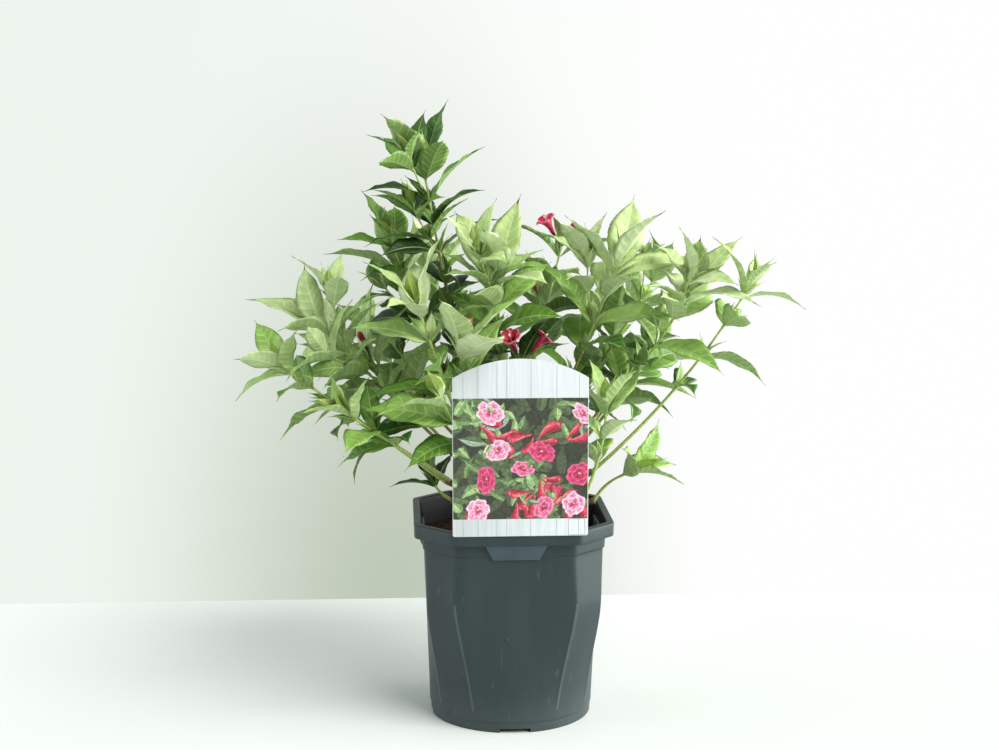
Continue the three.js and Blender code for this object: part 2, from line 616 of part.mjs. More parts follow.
/** The pairs of leaves on a stem, from its end down to its bare foot. */
function growPairs(line, spec, seed, owner) {
  const leaves = [];
  const nodes = [];
  let down = SUNK;
  for (let pair = 0; down < line.length - spec.bare; pair += 1) {
    const age = Math.min(1, down / OLD_AT);
    const around = rad(spec.turn + 90 * (pair % 2) + seed.spread(14));
    const node = line.at(line.length - down);
    nodes.push({ ...node, around });
    for (let side = 0; side < 2; side += 1) {
      const share = pair === 0 ? spec.young : 1 - 0.2 * Math.max(0, age - 0.5);
      const length = spec.leaf * share * (1 + seed.spread(0.1));
      const size = {
        length,
        width: length * (LEAF_WIDTH + seed.spread(0.04)),
        arch: rad((pair === 0 ? ARCH.young : ARCH.next + ARCH.old * age) + seed.spread(12)),
        roll: rad(seed.spread(LEAF_ROLL)),
      };
      const lean = rad((pair === 0 ? LEAN.young : LEAN.next + LEAN.old * age) + seed.spread(7));
      const turned = around + Math.PI * side + rad(seed.spread(10));
      const leaf = growLeaf(node, turned, lean, size, owner);
      if (leaf) leaves.push(leaf);
    }
    down += spec.step * (pair === 0 ? NEXT_STEP : 0.85 + 0.08 * pair) * (1 + seed.spread(0.1));
  }
  return { leaves, nodes };
}

/** A side twig in the axil of a leaf, with its own leaves; nothing where there is no room for it. */
function growTwig(node, side, spec, seed, owner) {
  const lean = rad(TWIG_LEAN + seed.spread(8));
  const around = node.around + Math.PI * side + rad(seed.spread(20));
  const along = node.along.clone().multiplyScalar(Math.cos(lean))
    .addScaledVector(sideways(node, around), Math.sin(lean));
  const reach = spec.leaf * (TWIG_REACH + seed.spread(0.14));
  const line = new Line(node.point, node.point.clone().addScaledVector(along, reach), 3, seed.spread(4));
  const points = line.samples();
  const blocked = points.some((p) => !isOpen(p) || space.taken(p, owner, 0, AIR_TO_OTHERS))
    || points.slice(3).some((p) => space.taken(p, owner, 1.5 * AIR_TO_OWN, 0));
  if (blocked) return [];
  space.add(points, owner);
  const twig = {
    leaf: TWIG_LEAF * spec.leaf, young: 0.85, turn: 90 * side + seed.spread(40), step: 24, bare: 14,
  };
  return [limbSolid(line, TWIG_RADIUS, TWIG_TIP_RADIUS, 4, 2),
    ...growPairs(line, twig, seed, owner).leaves.map(leafSolid)];
}

/** Where the flowers and buds at a shoot's end stand. */
function placeBlooms({ bloom: [open, buds], line, seed }) {
  const end = line.at(line.length);
  return Array.from({ length: open + buds }, (_, i) => {
    const around = Math.PI + (2 * Math.PI * (i + 0.5)) / (open + buds);
    const lean = rad(i < open ? FLOWER.lean : BUD.lean);
    const along = end.along.clone().multiplyScalar(Math.cos(lean))
      .addScaledVector(vec(Math.cos(around), Math.sin(around), 0), Math.sin(lean)).normalize();
    const root = end.point.clone().addScaledVector(end.along, -0.5 - i * 0.4);
    const length = i < open ? FLOWER.length : BUD.length + seed.spread(5);
    return { root, along, isOpen: i < open, length };
  });
}

for (const shoot of shoots) {
  shoot.blooms = placeBlooms(shoot);
  for (const { root, along, length } of shoot.blooms) {
    for (let far = SAMPLE; far <= length; far += SAMPLE) {
      const middle = root.clone().addScaledVector(along, far);
      const wide = (FLOWER.mouth * Math.max(0, far - 0.45 * length)) / length;
      space.add([middle, ...[0, 1, 2, 3].map((quarter) => middle.clone()
        .addScaledVector(sideways({ along }, (quarter * Math.PI) / 2), wide))], shoot.name);
    }
  }
}

const grown = shoots.map((shoot) => growPairs(shoot.line, shoot, shoot.seed, shoot.name));
shoots.forEach((shoot, index) => {
  const { name, line, seed, fork } = shoot;
  const { leaves, nodes } = grown[index];
  const level = fork.along.dot(fork.point) + GAP;
  const stem = limbSolid(line, SHOOT_RADIUS, SHOOT_TIP_RADIUS, 4, 6).trimByPlane(fork.along.toArray(), level);
  const solids = [stem, ...leaves.map(leafSolid)];
  for (let i = FIRST_TWIG; i < FIRST_TWIG + shoot.twigs && i < nodes.length; i += 1) {
    solids.push(...growTwig(nodes[i], i % 2, shoot, seed, name));
  }
  for (const bloom of shoot.blooms) {
    const make = bloom.isOpen ? flowerSolid : budSolid;
    solids.push(make(bloom.root, bloom.along, bloom.length));
  }
  piece(`foliage_${name}`, geometryOf(wasm.Manifold.union(solids)), 0x6f9a3f, 0.7);
});

export default part;
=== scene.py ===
import math

import bpy
import numpy as np
from mathutils import Matrix, Vector
from mathutils.geometry import delaunay_2d_cdt


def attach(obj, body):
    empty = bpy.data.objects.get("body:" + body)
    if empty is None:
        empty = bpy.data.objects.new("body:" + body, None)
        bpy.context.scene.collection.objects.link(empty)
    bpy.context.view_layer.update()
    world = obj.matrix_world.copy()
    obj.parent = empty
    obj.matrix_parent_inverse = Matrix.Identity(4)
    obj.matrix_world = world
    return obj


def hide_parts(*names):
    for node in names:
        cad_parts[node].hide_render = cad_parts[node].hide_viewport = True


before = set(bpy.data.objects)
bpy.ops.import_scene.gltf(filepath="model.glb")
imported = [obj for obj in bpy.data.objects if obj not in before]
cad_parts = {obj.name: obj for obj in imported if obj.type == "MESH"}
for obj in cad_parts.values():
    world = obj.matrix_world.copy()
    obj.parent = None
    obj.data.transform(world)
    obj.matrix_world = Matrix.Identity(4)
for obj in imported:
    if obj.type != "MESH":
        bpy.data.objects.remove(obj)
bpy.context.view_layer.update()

# ---------------------------------------------------------------------------- studio
# A white studio: a pale floor slab that ends a little behind the plant, and white air all round it
# that is bright on the right, with a painted shadow of the plant in it behind the pot, and two large soft
# lights on that side.
MM = 0.001
FLOOR = {"half_width": 2400.0, "front": -3200.0, "back": 382.0, "thickness": 20.0}
EYE = {"place": (-0.1021, -1.6429, 0.564), "pitch": 8.6, "turn": 3.2, "lens": 65.59, "film": 36.0}
AIR_TONES = {"left": (238, 245, 238), "right": (254, 255, 254), "shade": (190, 200, 183),
             "dome": (150, 155, 152), "behind_eye": (128, 135, 132)}
WINDOWS = {"left": (1.9, 2.0, 2.0), "right": (3.5, 3.7, 3.65)}
SHADE = {"across": -0.005, "height": -0.28, "narrow": 10.5, "low": 5.0, "reach": 1.85}
LIGHTS = {"light_bank": {"energy": 3.0, "angle": 40.0, "place": (1.0, -1.15, 1.85)},
          "light_side": {"energy": 3.3, "angle": 44.0, "place": (1.6, 0.0, 0.4)}}
LIGHT_COLOUR = (1.0, 0.995, 0.98)
LIT_POINT = Vector((0.0, 0.0, 0.25))


class Wire:
    """A value on its way through a finish: an expression on it adds the nodes that work it out."""

    def __init__(self, finish, socket):
        self.finish = finish
        self.socket = socket

    def maths(self, operation, *values):
        return self.finish.node("ShaderNodeMath", {"operation": operation}, dict(enumerate(values)))

    def __add__(self, other):
        return self.maths("ADD", self, other)

    def __sub__(self, other):
        return self.maths("SUBTRACT", self, other)

    def __rsub__(self, other):
        return self.maths("SUBTRACT", other, self)

    def __mul__(self, other):
        return self.maths("MULTIPLY", self, other)

    def __pow__(self, other):
        return self.maths("POWER", self, other)

    def clamped(self):
        return self.finish.node("ShaderNodeClamp", {}, {"Value": self})

    def between(self, low, high):
        """0 at the low value, 1 at the high one, and smooth from one to the other."""
        return self.finish.node("ShaderNodeMapRange", {"interpolation_type": "SMOOTHSTEP"},
                                {"Value": self, "From Min": low, "From Max": high})

    __radd__ = __add__
    __rmul__ = __mul__


class Finish:
    """The nodes of one material, or of the studio's air, built by one method."""

    def __init__(self, owner, shader):
        self.owner = owner
        owner.use_nodes = True
        self.tree = owner.node_tree
        self.shader = self.tree.nodes[shader]

    def node(self, kind, settings, values, output=0):
        made = self.tree.nodes.new(kind)
        for name, setting in settings.items():
            setattr(made, name, setting)
        for name, value in values.items():
            self.plug(made.inputs[name], value)
        return Wire(self, made.outputs[output])

    def plug(self, socket, value):
        if isinstance(value, Wire):
            self.tree.links.new(value.socket, socket)
        elif isinstance(value, tuple) and len(value) == 3 and socket.type == "RGBA":
            socket.default_value = (*value, 1.0)
        else:
            socket.default_value = value

    def mix(self, factor, first, second):
        """Two colours mixed by a factor."""
        return self.node("ShaderNodeMix", {"data_type": "RGBA"}, {0: factor, 6: first, 7: second}, 2)

    def noise(self, place, scale, detail=3.0, roughness=0.55):
        return self.node("ShaderNodeTexNoise", {}, {
            "Vector": place, "Scale": scale, "Detail": detail, "Roughness": roughness})

    def stretched(self, *scale):
        """Places whose pattern is drawn out along the axis of the smallest scale."""
        return self.node("ShaderNodeMapping", {}, {"Vector": self.place, "Scale": scale})

    def paint(self, colour):
        self.plug(self.shader.inputs["Base Color"], colour)

    def mottle(self, factor, colour, darker, lighter, added=0.0):
        """A base colour that wanders between a darker and a lighter share of one screen colour."""
        dark = tuple(c * darker for c in colour)
        light = tuple(min(255, c * lighter + added) for c in colour)
        self.paint(self.mix(factor, linear(*dark), linear(*light)))

    def bump(self, height, distance, strength=1.0):
        """Relief of a height, in metres at full strength."""
        relief = self.node("ShaderNodeBump", {}, {"Height": height, "Distance": distance,
                                                  "Strength": strength})
        self.plug(self.shader.inputs["Normal"], relief)


def material(name, **constants):
    """A new material whose shader has these constant values."""
    made = Finish(bpy.data.materials.new(name), "Principled BSDF")
    for socket, value in constants.items():
        made.plug(made.shader.inputs[socket.replace("_", " ")], value)
    made.place = made.node("ShaderNodeTexCoord", {}, {}, 3)
    return made


def linear(red, green, blue):
    """A colour given by its screen values, from 0 to 255, as the light it stands for."""
    return tuple(((c / 255 + 0.055) / 1.055) ** 2.4 if c > 10 else c / 255 / 12.92
                 for c in (red, green, blue))


def add_piece(name, points, faces, finishes, tones=None, smooth=True):
    """A mesh object from points in millimetres; the tones number each face's finish."""
    mesh = bpy.data.meshes.new(name)
    mesh.from_pydata((np.asarray(points) * MM).tolist(), [], faces)
    for finish in finishes:
        mesh.materials.append(finish.owner)
    if tones is not None:
        mesh.polygons.foreach_set("material_index", np.asarray(tones, np.int32))
    mesh.polygons.foreach_set("use_smooth", np.full(len(mesh.polygons), smooth))
    mesh.update()
    thing = bpy.data.objects.new(name, mesh)
    bpy.context.scene.collection.objects.link(thing)
    return thing


def box_between(low, high, narrow=0.0):
    """The corners and sides of a box; its lower end is narrower by a length at its left and right."""
    corners = []
    for z, inset in ((low[2], narrow), (high[2], 0.0)):
        corners += [(low[0] + inset, low[1], z), (high[0] - inset, low[1], z),
                    (high[0] - inset, high[1], z), (low[0] + inset, high[1], z)]
    sides = [(0, 3, 2, 1), (4, 5, 6, 7), (0, 1, 5, 4), (1, 2, 6, 5), (2, 3, 7, 6), (3, 0, 4, 7)]
    return corners, sides


def set_camera(scene):
    camera = bpy.data.objects.new("eye", bpy.data.cameras.new("eye"))
    camera.data.lens = EYE["lens"]
    camera.data.sensor_width = EYE["film"]
    camera.location = EYE["place"]
    camera.rotation_euler = (math.radians(90 - EYE["pitch"]), 0.0, math.radians(-EYE["turn"]))
    scene.collection.objects.link(camera)
    scene.camera = camera


def fill_with_air(scene):
    """The light from all round, told by its direction: across to the right, in depth, and in height."""
    air = Finish(bpy.data.worlds.new("air"), "Background")
    scene.world = air.owner
    direction = air.node("ShaderNodeTexCoord", {}, {})
    across, depth, height = (air.node("ShaderNodeSeparateXYZ", {}, {"Vector": direction}, axis)
                             for axis in range(3))
    tone = {name: linear(*colour) for name, colour in AIR_TONES.items()}
    # The backdrop seen behind the plant is painted: greyer on the left and whiter on the right, as painted
    # shade from the lights on the right, and darker behind the pot, as a painted shadow of the plant.
    wall = air.mix(across.between(-0.16, 0.2), tone["left"], tone["right"])
    aside = (across - SHADE["across"]) * SHADE["narrow"]
    above = (height - SHADE["height"]) * SHADE["low"]
    shade = 1 - ((aside * aside + above * above) ** 0.5).between(0.0, SHADE["reach"])
    shaded = air.mix(shade * depth.between(0.0, 0.4), wall, tone["shade"])
    dome = air.mix(height.between(0.15, 0.6), shaded, tone["dome"])
    behind_eye = air.mix(depth.between(-0.4, -0.95) * 0.9, dome, tone["behind_eye"])
    left_lit = air.mix(across.between(-0.5, -0.95), behind_eye, WINDOWS["left"])
    low_down = 1 - height.between(0.2, 0.55)
    lit = air.mix(across.between(0.5, 0.95) * low_down, left_lit, WINDOWS["right"])
    air.plug(air.shader.inputs["Color"], lit)
    air.plug(air.shader.inputs["Strength"], 1.0)


def hang_lights(scene):
    for name, light in LIGHTS.items():
        bank = bpy.data.lights.new(name, "SUN")
        bank.energy = light["energy"]
        bank.angle = math.radians(light["angle"])
        bank.color = LIGHT_COLOUR
        lamp = bpy.data.objects.new(name, bank)
        lamp.location = light["place"]
        lamp.rotation_mode = "QUATERNION"
        lamp.rotation_quaternion = (lamp.location - LIT_POINT).to_track_quat("Z", "Y")
        scene.collection.objects.link(lamp)


def lay_floor():
    paper = material("floor_paper", Roughness=0.55)
    paper.paint(paper.mix(paper.noise(paper.place, 3.0), linear(228, 231, 228), linear(222, 227, 223)))
    wide = FLOOR["half_width"]
    corners, sides = box_between((-wide, FLOOR["front"], -FLOOR["thickness"]), (wide, FLOOR["back"], 0.0))
    add_piece("floor", corners, sides, [paper], smooth=False)


bpy.context.scene.view_settings.view_transform = "Standard"
set_camera(bpy.context.scene)
fill_with_air(bpy.context.scene)
hang_lights(bpy.context.scene)
lay_floor()

# ---------------------------------------------------------------------------- pot
# A thin-walled nursery pot of slate-grey polypropylene, injection moulded in one shot. It is square
# with cut corners at its collar and turns round towards the foot, where ridges run on down the wall;
# a gusset stands under the collar on each side, and each side of the foot has a drain notch.
POT = {"height": 189.0, "half_width": 90.0, "collar": 12.5, "rim": 6.5, "draft": 0.4,
       "under_collar": 82.8, "band": 82.0, "band_height": 12.0, "wall_top": 80.6, "wall": 1.8,
       "foot": 74.3, "foot_band": 9.0, "recess": 4.5, "disc": 42.0, "round_below": 118.0}
COLLAR_FOOT = POT["height"] - POT["collar"]
BAND_FOOT = COLLAR_FOOT - POT["band_height"]
RIM_INSIDE = POT["half_width"] - POT["rim"]
POT_FLOOR = POT["recess"] + POT["wall"]
CORNER = {"heights": (22.0, 117.0, 176.0), "turns": np.radians((29.8, 34.8, 32.2)), "sharpness": 90.0}
# The moulded ridges, and the span of heights on whose crests a paler finish is painted as a highlight.
RIDGE = {"height": 0.7, "width": 1.2, "from": 16.0, "to": 150.0, "fade_in": 12.0, "fade_out": 50.0,
         "wear_and_highlight": (20.0, 122.0), "crest": 0.0068}
GUSSET = {"half_width": 28.0, "narrowed": 7.5, "height": 14.6, "top": 87.6, "foot": 82.4,
          "back": 79.5, "sunk": 0.5, "rounding": 0.5}
NOTCH = {"half_width": 13.5, "widened": 0.8, "outside": 82.3, "inside": 66.3, "height": 4.0}
GATE = {"across": -7.9, "height": 88.0, "radius": 2.1, "sides": 16}
QUARTER = math.pi / 2


def smooth_step(value):
    value = np.clip(value, 0.0, 1.0)
    return value * value * (3.0 - 2.0 * value)


def from_flat(angle):
    """How far a direction is turned from the middle of the flat side that it goes through."""
    return (angle + QUARTER / 2) % QUARTER - QUARTER / 2


def corner_turn(height):
    """How far round from a flat side's middle its corner is: the flat narrows towards the foot."""
    return np.interp(height, CORNER["heights"], CORNER["turns"])


def pot_reach(half_width, angle, height):
    """How far the pot's section reaches in a direction, its corners a little rounded."""
    off_flat = np.abs(from_flat(angle))
    corner = corner_turn(height)
    diagonal = half_width / math.cos(corner) * math.cos(QUARTER / 2 - corner)
    flat_share = (np.cos(off_flat) / half_width) ** CORNER["sharpness"]
    diagonal_share = (np.cos(QUARTER / 2 - off_flat) / diagonal) ** CORNER["sharpness"]
    octagon = (flat_share + diagonal_share) ** (-1.0 / CORNER["sharpness"])
    roundness = smooth_step((POT["round_below"] - height) / POT["round_below"])
    return octagon + (half_width - octagon) * roundness


def ridge_at(angle, height):
    """How far the moulded ridge stands out of the wall."""
    off_ridge = (np.abs(from_flat(angle)) - corner_turn(height)) * POT["foot"] / RIDGE["width"]
    ends = (smooth_step((height - RIDGE["from"]) / RIDGE["fade_in"])
            * smooth_step((RIDGE["to"] - height) / RIDGE["fade_out"]))
    return RIDGE["height"] * ends * np.exp(-off_ridge ** 2)


def wall_outside(height):
    """Half-width of the wall's outside at a height below the collar."""
    foot = POT["foot"] + 0.6
    return foot + (POT["wall_top"] - foot) * height / BAND_FOOT


def rounded(profile, radius, steps=3):
    """A profile whose corners are rounded off, in so far as its straight stretches leave room."""
    points = [np.array(p, float) for p in profile]
    out = [points[0]]
    for before, corner, after in zip(points, points[1:], points[2:]):
        back, on = before - corner, after - corner
        room = min(radius, 0.45 * np.linalg.norm(back), 0.45 * np.linalg.norm(on))
        start = corner + back / np.linalg.norm(back) * room
        end = corner + on / np.linalg.norm(on) * room
        for i in range(steps + 1):
            t = i / steps
            out.append(start * (1 - t) ** 2 + 2 * corner * t * (1 - t) + end * t * t)
    return [*out, points[-1]]


def close_steps(profile, longest):
    """A profile with points no further apart than a length."""
    out = [profile[0]]
    for start, end in zip(profile, profile[1:]):
        count = max(1, math.ceil(np.linalg.norm(end - start) / longest))
        out += [start + (end - start) * i / count for i in range(1, count + 1)]
    return np.array(out)


def pot_columns():
    """Directions round the pot, close together where its corners and ridges are."""
    corner = CORNER["turns"][-1] + np.linspace(-0.084, 0.084, 15)
    flat = np.linspace(-0.46, 0.46, 19)
    cut = np.linspace(-0.13, 0.13, 5)
    turns = []
    for side in range(4):
        middle = side * QUARTER
        turns += [middle - corner, middle + flat, middle + corner, middle + QUARTER / 2 + cut]
    return np.sort(np.concatenate(turns) % (2 * math.pi))


def beside_corner(turns, height):
    """The directions of the columns at a height: those by a corner move along with it."""
    around = from_flat(turns)
    near = smooth_step((0.2 - np.abs(np.abs(around) - CORNER["turns"][-1])) / 0.11)
    return turns + np.sign(around) * near * (corner_turn(height) - CORNER["turns"][-1])


def lathe(profile, columns, reach, turned_at=None):
    """A closed form from a profile of half-width and height whose ends lie on the axis."""
    inner = profile[1:-1]
    count, rows = len(columns), len(inner)
    points = [(0.0, 0.0, profile[0][1])]
    for half_width, height in inner:
        turns = turned_at(columns, height) if turned_at else columns
        far = reach(half_width, turns, height)
        points += list(zip(far * np.cos(turns), far * np.sin(turns), np.full(count, height)))
    points.append((0.0, 0.0, profile[-1][1]))
    faces = []
    for column in range(count):
        after = (column + 1) % count
        faces.append((0, 1 + after, 1 + column))
        for row in range(rows - 1):
            here, above = 1 + row * count, 1 + (row + 1) * count
            faces.append((here + column, here + after, above + after, above + column))
        last = 1 + (rows - 1) * count
        faces.append((last + column, last + after, len(points) - 1))
    return points, faces


def turned(points, angle):
    """Points turned about the pot's axis."""
    c, s = math.cos(angle), math.sin(angle)
    return [(x * c - y * s, x * s + y * c, z) for x, y, z in points]


def joined(forms):
    """Several forms of points and faces as one."""
    points, faces = [], []
    for more_points, more_faces in forms:
        faces += [tuple(i + len(points) for i in face) for face in more_faces]
        points += list(more_points)
    return points, faces


def applied(thing, kind, **settings):
    """Adds a modifier and makes its result the thing's own mesh."""
    modifier = thing.modifiers.new(kind.lower(), kind)
    for name, value in settings.items():
        setattr(modifier, name, value)
    bpy.context.view_layer.update()
    shaped = thing.evaluated_get(bpy.context.evaluated_depsgraph_get())
    mesh = bpy.data.meshes.new_from_object(shaped)
    thing.modifiers.clear()
    thing.data = mesh
    return thing


def slate_plastic(name, low, high, gloss=0.34):
    """Slate plastic: a faint flow in the colour, pale dust and scuffs, a fine orange-peel skin."""
    plastic = material(name, Specular_IOR_Level=gloss)
    drawn_out = plastic.stretched(60.0, 60.0, 9.0)
    flow = plastic.noise(drawn_out, 1.0, 4.0)
    dust = plastic.noise(plastic.place, 420.0, 2.0).between(0.71, 0.84)
    scuffed = plastic.noise(drawn_out, 3.2, 5.0).between(0.64, 0.76)
    height = plastic.node("ShaderNodeSeparateXYZ", {}, {"Vector": plastic.place}, 2)
    foot_dust = 1 - height.between(0.004, 0.045)
    dull = plastic.mix(flow.between(0.3, 0.7), linear(*low), linear(*high))
    wear_and_highlight = plastic.mix(scuffed * 0.18, dull, linear(112, 126, 130))
    plastic.paint(plastic.mix((dust * 0.3 + foot_dust * 0.08).clamped(), wear_and_highlight, linear(124, 134, 136)))
    plastic.plug(plastic.shader.inputs["Roughness"], 0.4 + flow * 0.12 + scuffed * 0.12)
    peel = plastic.noise(plastic.place, 900.0, 2.0)
    plastic.bump(peel + flow * 0.6, 0.00012, 0.5)
    return plastic


def pot_skins(points, faces):
    """1 for the faces along the crest of a ridge, which take a paler finish as a painted highlight,
    2 for those inside, which take a darker and duller finish, and 0 elsewhere."""
    corners = np.array([[points[i] for i in face[:3]] for face in faces])
    centres = np.array([np.mean([points[i] for i in face], axis=0) for face in faces])
    across, height = centres[:, :2], centres[:, 2]
    from_axis = np.hypot(*across.T)
    facing = np.cross(corners[:, 1] - corners[:, 0], corners[:, 2] - corners[:, 0])
    facing /= np.maximum(np.linalg.norm(facing, axis=1, keepdims=True), 1e-9)
    outwards = (facing[:, :2] * across).sum(1) / np.maximum(from_axis, 1e-9)
    inside = (outwards < -0.3) & (height > POT_FLOOR)
    off_flat = np.abs(from_flat(np.arctan2(across[:, 1], across[:, 0])))
    # Faces on a ridge's crest outside the wall, between two heights, take a paler finish as a painted
    # highlight.
    crest = np.abs(off_flat - corner_turn(height)) < RIDGE["crest"]
    low, high = RIDGE["wear_and_highlight"]
    wear_and_highlight = crest & (from_axis > POT["foot"] + 0.4) & (height > low) & (height < high)
    return np.where(inside, 2, wear_and_highlight.astype(int))


def pot_profile():
    """The skin's half-widths and heights, from under its middle, over the rim, to its floor."""
    foot, recess, wall, top = POT["foot"], POT["recess"], POT["wall"], POT["height"]
    under = [(0, 0), (POT["disc"], 0), (POT["disc"] + 1, recess), (foot - 4.5, recess),
             (foot - 3.6, 0), (foot - 0.4, 0), (foot, 2), (foot, POT["foot_band"])]
    side = [(wall_outside(10), 10), (wall_outside(BAND_FOOT), BAND_FOOT), (POT["band"], BAND_FOOT + 1),
            (POT["under_collar"], COLLAR_FOOT)]
    collar = [(POT["half_width"] - POT["draft"], COLLAR_FOOT), (POT["half_width"], top),
              (RIM_INSIDE, top), (RIM_INSIDE - 2, COLLAR_FOOT)]
    inside = [(wall_outside(BAND_FOOT - 2) - wall, BAND_FOOT - 2), (wall_outside(24) - wall, 24),
              (foot - wall - 2, POT_FLOOR), (0, POT_FLOOR)]
    return close_steps(rounded(under + side + collar + inside, 1.1), 4.0)


def pot_wall(half_width, angle, height):
    """The section's reach, with the ridges where it is the outside of the wall."""
    on_outside = half_width > wall_outside(height) - 1
    return pot_reach(half_width, angle, height) + ridge_at(angle, height) * on_outside


def gusset():
    """The tab under the collar: a wedge that narrows and leans back to the wall towards its foot."""
    half, top = GUSSET["half_width"], COLLAR_FOOT + GUSSET["sunk"]
    corners, sides = box_between((-half, -GUSSET["top"], COLLAR_FOOT - GUSSET["height"]),
                                 (half, -GUSSET["back"], top), GUSSET["narrowed"])
    return [(x, -GUSSET["foot"] if y < -GUSSET["back"] and z < top else y, z) for x, y, z in corners], sides


def drain_notch():
    """What is cut from the foot for one drain."""
    half, height = NOTCH["half_width"], NOTCH["height"]
    return box_between((-half, -NOTCH["outside"], -height), (half, -NOTCH["inside"], height),
                       -NOTCH["widened"])


def round_the_pot(form):
    """A form once on each of the four sides."""
    points, faces = form
    return joined([(turned(points, side * QUARTER), faces) for side in range(4)])


def gate_nub():
    """The nub that the moulding left on the front wall, where its plastic was let in."""
    radius = GATE["radius"]
    profile = rounded([(0, -1), (radius, -1), (radius, 0.25), (1.1, 0.6), (0.9, 1), (0, 1)], 0.3)
    columns = np.linspace(0, 2 * math.pi, GATE["sides"], endpoint=False)
    points, faces = lathe(profile, columns, lambda half, angle, height: half + 0 * angle)
    wall = -pot_reach(wall_outside(GATE["height"]), 0.0, GATE["height"])
    return [(x + GATE["across"], wall - z, y + GATE["height"]) for x, y, z in points], faces


def make_pot():
    form = lathe(pot_profile(), pot_columns(), pot_wall, beside_corner)
    plastic = slate_plastic("slate_plastic", (35, 48, 49), (40, 53, 55))
    # A paler copy of the plastic for the ridge crests: a painted highlight.
    wear_and_highlight = slate_plastic("slate_plastic_ridge_highlight", (56, 71, 74), (66, 81, 85))
    # A lighter, bluer copy of the plastic for the gussets: painted light, for the light their sloping faces
    # catch.
    lit_gusset_plastic = slate_plastic("slate_plastic_gusset_lit", (56, 70, 79), (62, 77, 86))
    # A darker, duller copy of the plastic for the faces inside the pot.
    inside_plastic = slate_plastic("slate_plastic_inside", (11, 13, 12), (18, 20, 19), 0.1)
    pot = add_piece("nursery_pot", *form, [plastic, wear_and_highlight, inside_plastic], pot_skins(*form))
    cutter = add_piece("notches", *round_the_pot(drain_notch()), [plastic])
    applied(pot, "BOOLEAN", operation="DIFFERENCE", object=cutter, solver="EXACT")
    bpy.data.objects.remove(cutter)
    gussets = applied(add_piece("pot_gussets", *round_the_pot(gusset()), [lit_gusset_plastic]), "BEVEL",
                      width=GUSSET["rounding"] * MM, segments=3, limit_method="ANGLE")
    gate_mark = add_piece("pot_gate_mark", *gate_nub(), [plastic])
    for thing in (pot, gussets, gate_mark):
        thing.data.polygons.foreach_set("use_smooth", np.full(len(thing.data.polygons), True))
        thing.data.set_sharp_from_angle(angle=math.radians(38))
        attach(thing, "root")
        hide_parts("pot")


make_pot()

# ---------------------------------------------------------------------------- soil
# Bark-rich potting soil that has settled a little below the rim and shrunk from the wall. It is
# dark and reddish, crumbly on top, with loose chips of bark lying on it.
SOIL = {"level": 165.0, "crown": 2.5, "inset": 1.8, "lumps": 1.3, "rows": 46, "columns": 168}
SOIL_SIDES = (24.0, 60.0, 95.0, 130.0, 155.0, SOIL["level"] - 3.5)
CHIP = {"count": 420, "reach": 76.0, "long": (1.0, 3.8), "wide": (0.3, 0.7), "thick": (0.3, 0.9),
        "uneven": (-0.35, 0.2), "tip": 0.45, "rounding": 0.22}


def lumpy(x, y, seed, size):
    """A smooth random height over a plane, from a few crossing waves."""
    waves = np.random.RandomState(seed)
    total = 0.0
    for octave in range(4):
        for _ in range(5):
            turn, phase = waves.uniform(0, 2 * math.pi, 2)
            wave = 2 * math.pi * 2 ** octave / size
            total = total + np.sin((x * math.cos(turn) + y * math.sin(turn)) * wave + phase) / 1.7 ** octave
    return total / 6.0


def soil_top(x, y):
    """The height of the soil over a point of the pot."""
    from_stump = np.hypot(x, y)
    return (SOIL["level"] + SOIL["crown"] * smooth_step((90 - from_stump) / 70)
            + SOIL["lumps"] * lumpy(x, y, 5, 46.0) * smooth_step((from_stump - 14) / 20))


def soil_crumbs():
    """Red-brown peat and bark: dark between the crumbs, rusty and paler on a few."""
    soil = material("soil_crumbs", Roughness=0.95, Specular_IOR_Level=0.2)
    crumb = soil.noise(soil.place, 240.0, 5.0, 0.7)
    patch = soil.noise(soil.place, 60.0, 2.0)
    dark = soil.mix(crumb.between(0.36, 0.64), linear(24, 12, 9), linear(74, 40, 28))
    soil.paint(soil.mix(patch.between(0.5, 0.75) * 0.6, dark, linear(104, 58, 38)))
    soil.bump(crumb, 0.0015, 0.9)
    return soil


def bark_chips():
    chips = material("bark_chips", Roughness=0.85, Specular_IOR_Level=0.25)
    fibre = chips.noise(chips.place, 330.0, 4.0, 0.65)
    chips.paint(chips.mix(fibre.between(0.3, 0.7), linear(52, 26, 17), linear(122, 76, 52)))
    chips.bump(fibre, 0.0006, 0.8)
    return chips


def soil_filling():
    """The soil's whole form, from the pot's floor to its lumpy top."""
    inside = lambda z: wall_outside(z) - POT["wall"] - SOIL["inset"]
    level, floor = SOIL["level"], POT_FLOOR + 0.3
    shares = 1 - (np.arange(SOIL["rows"] - 1) / SOIL["rows"]) ** 0.9
    profile = [(0, floor), (POT["foot"] - 6.0, floor), *((inside(z), z) for z in SOIL_SIDES),
               *((inside(level) * share - 1.2, level) for share in shares), (0, level)]
    turns = np.linspace(0, 2 * math.pi, SOIL["columns"], endpoint=False)
    points, faces = lathe(profile, turns, pot_reach)
    points = np.array(points)
    top = points[:, 2] > level - 1
    points[top, 2] = soil_top(points[top, 0], points[top, 1])
    return points, faces


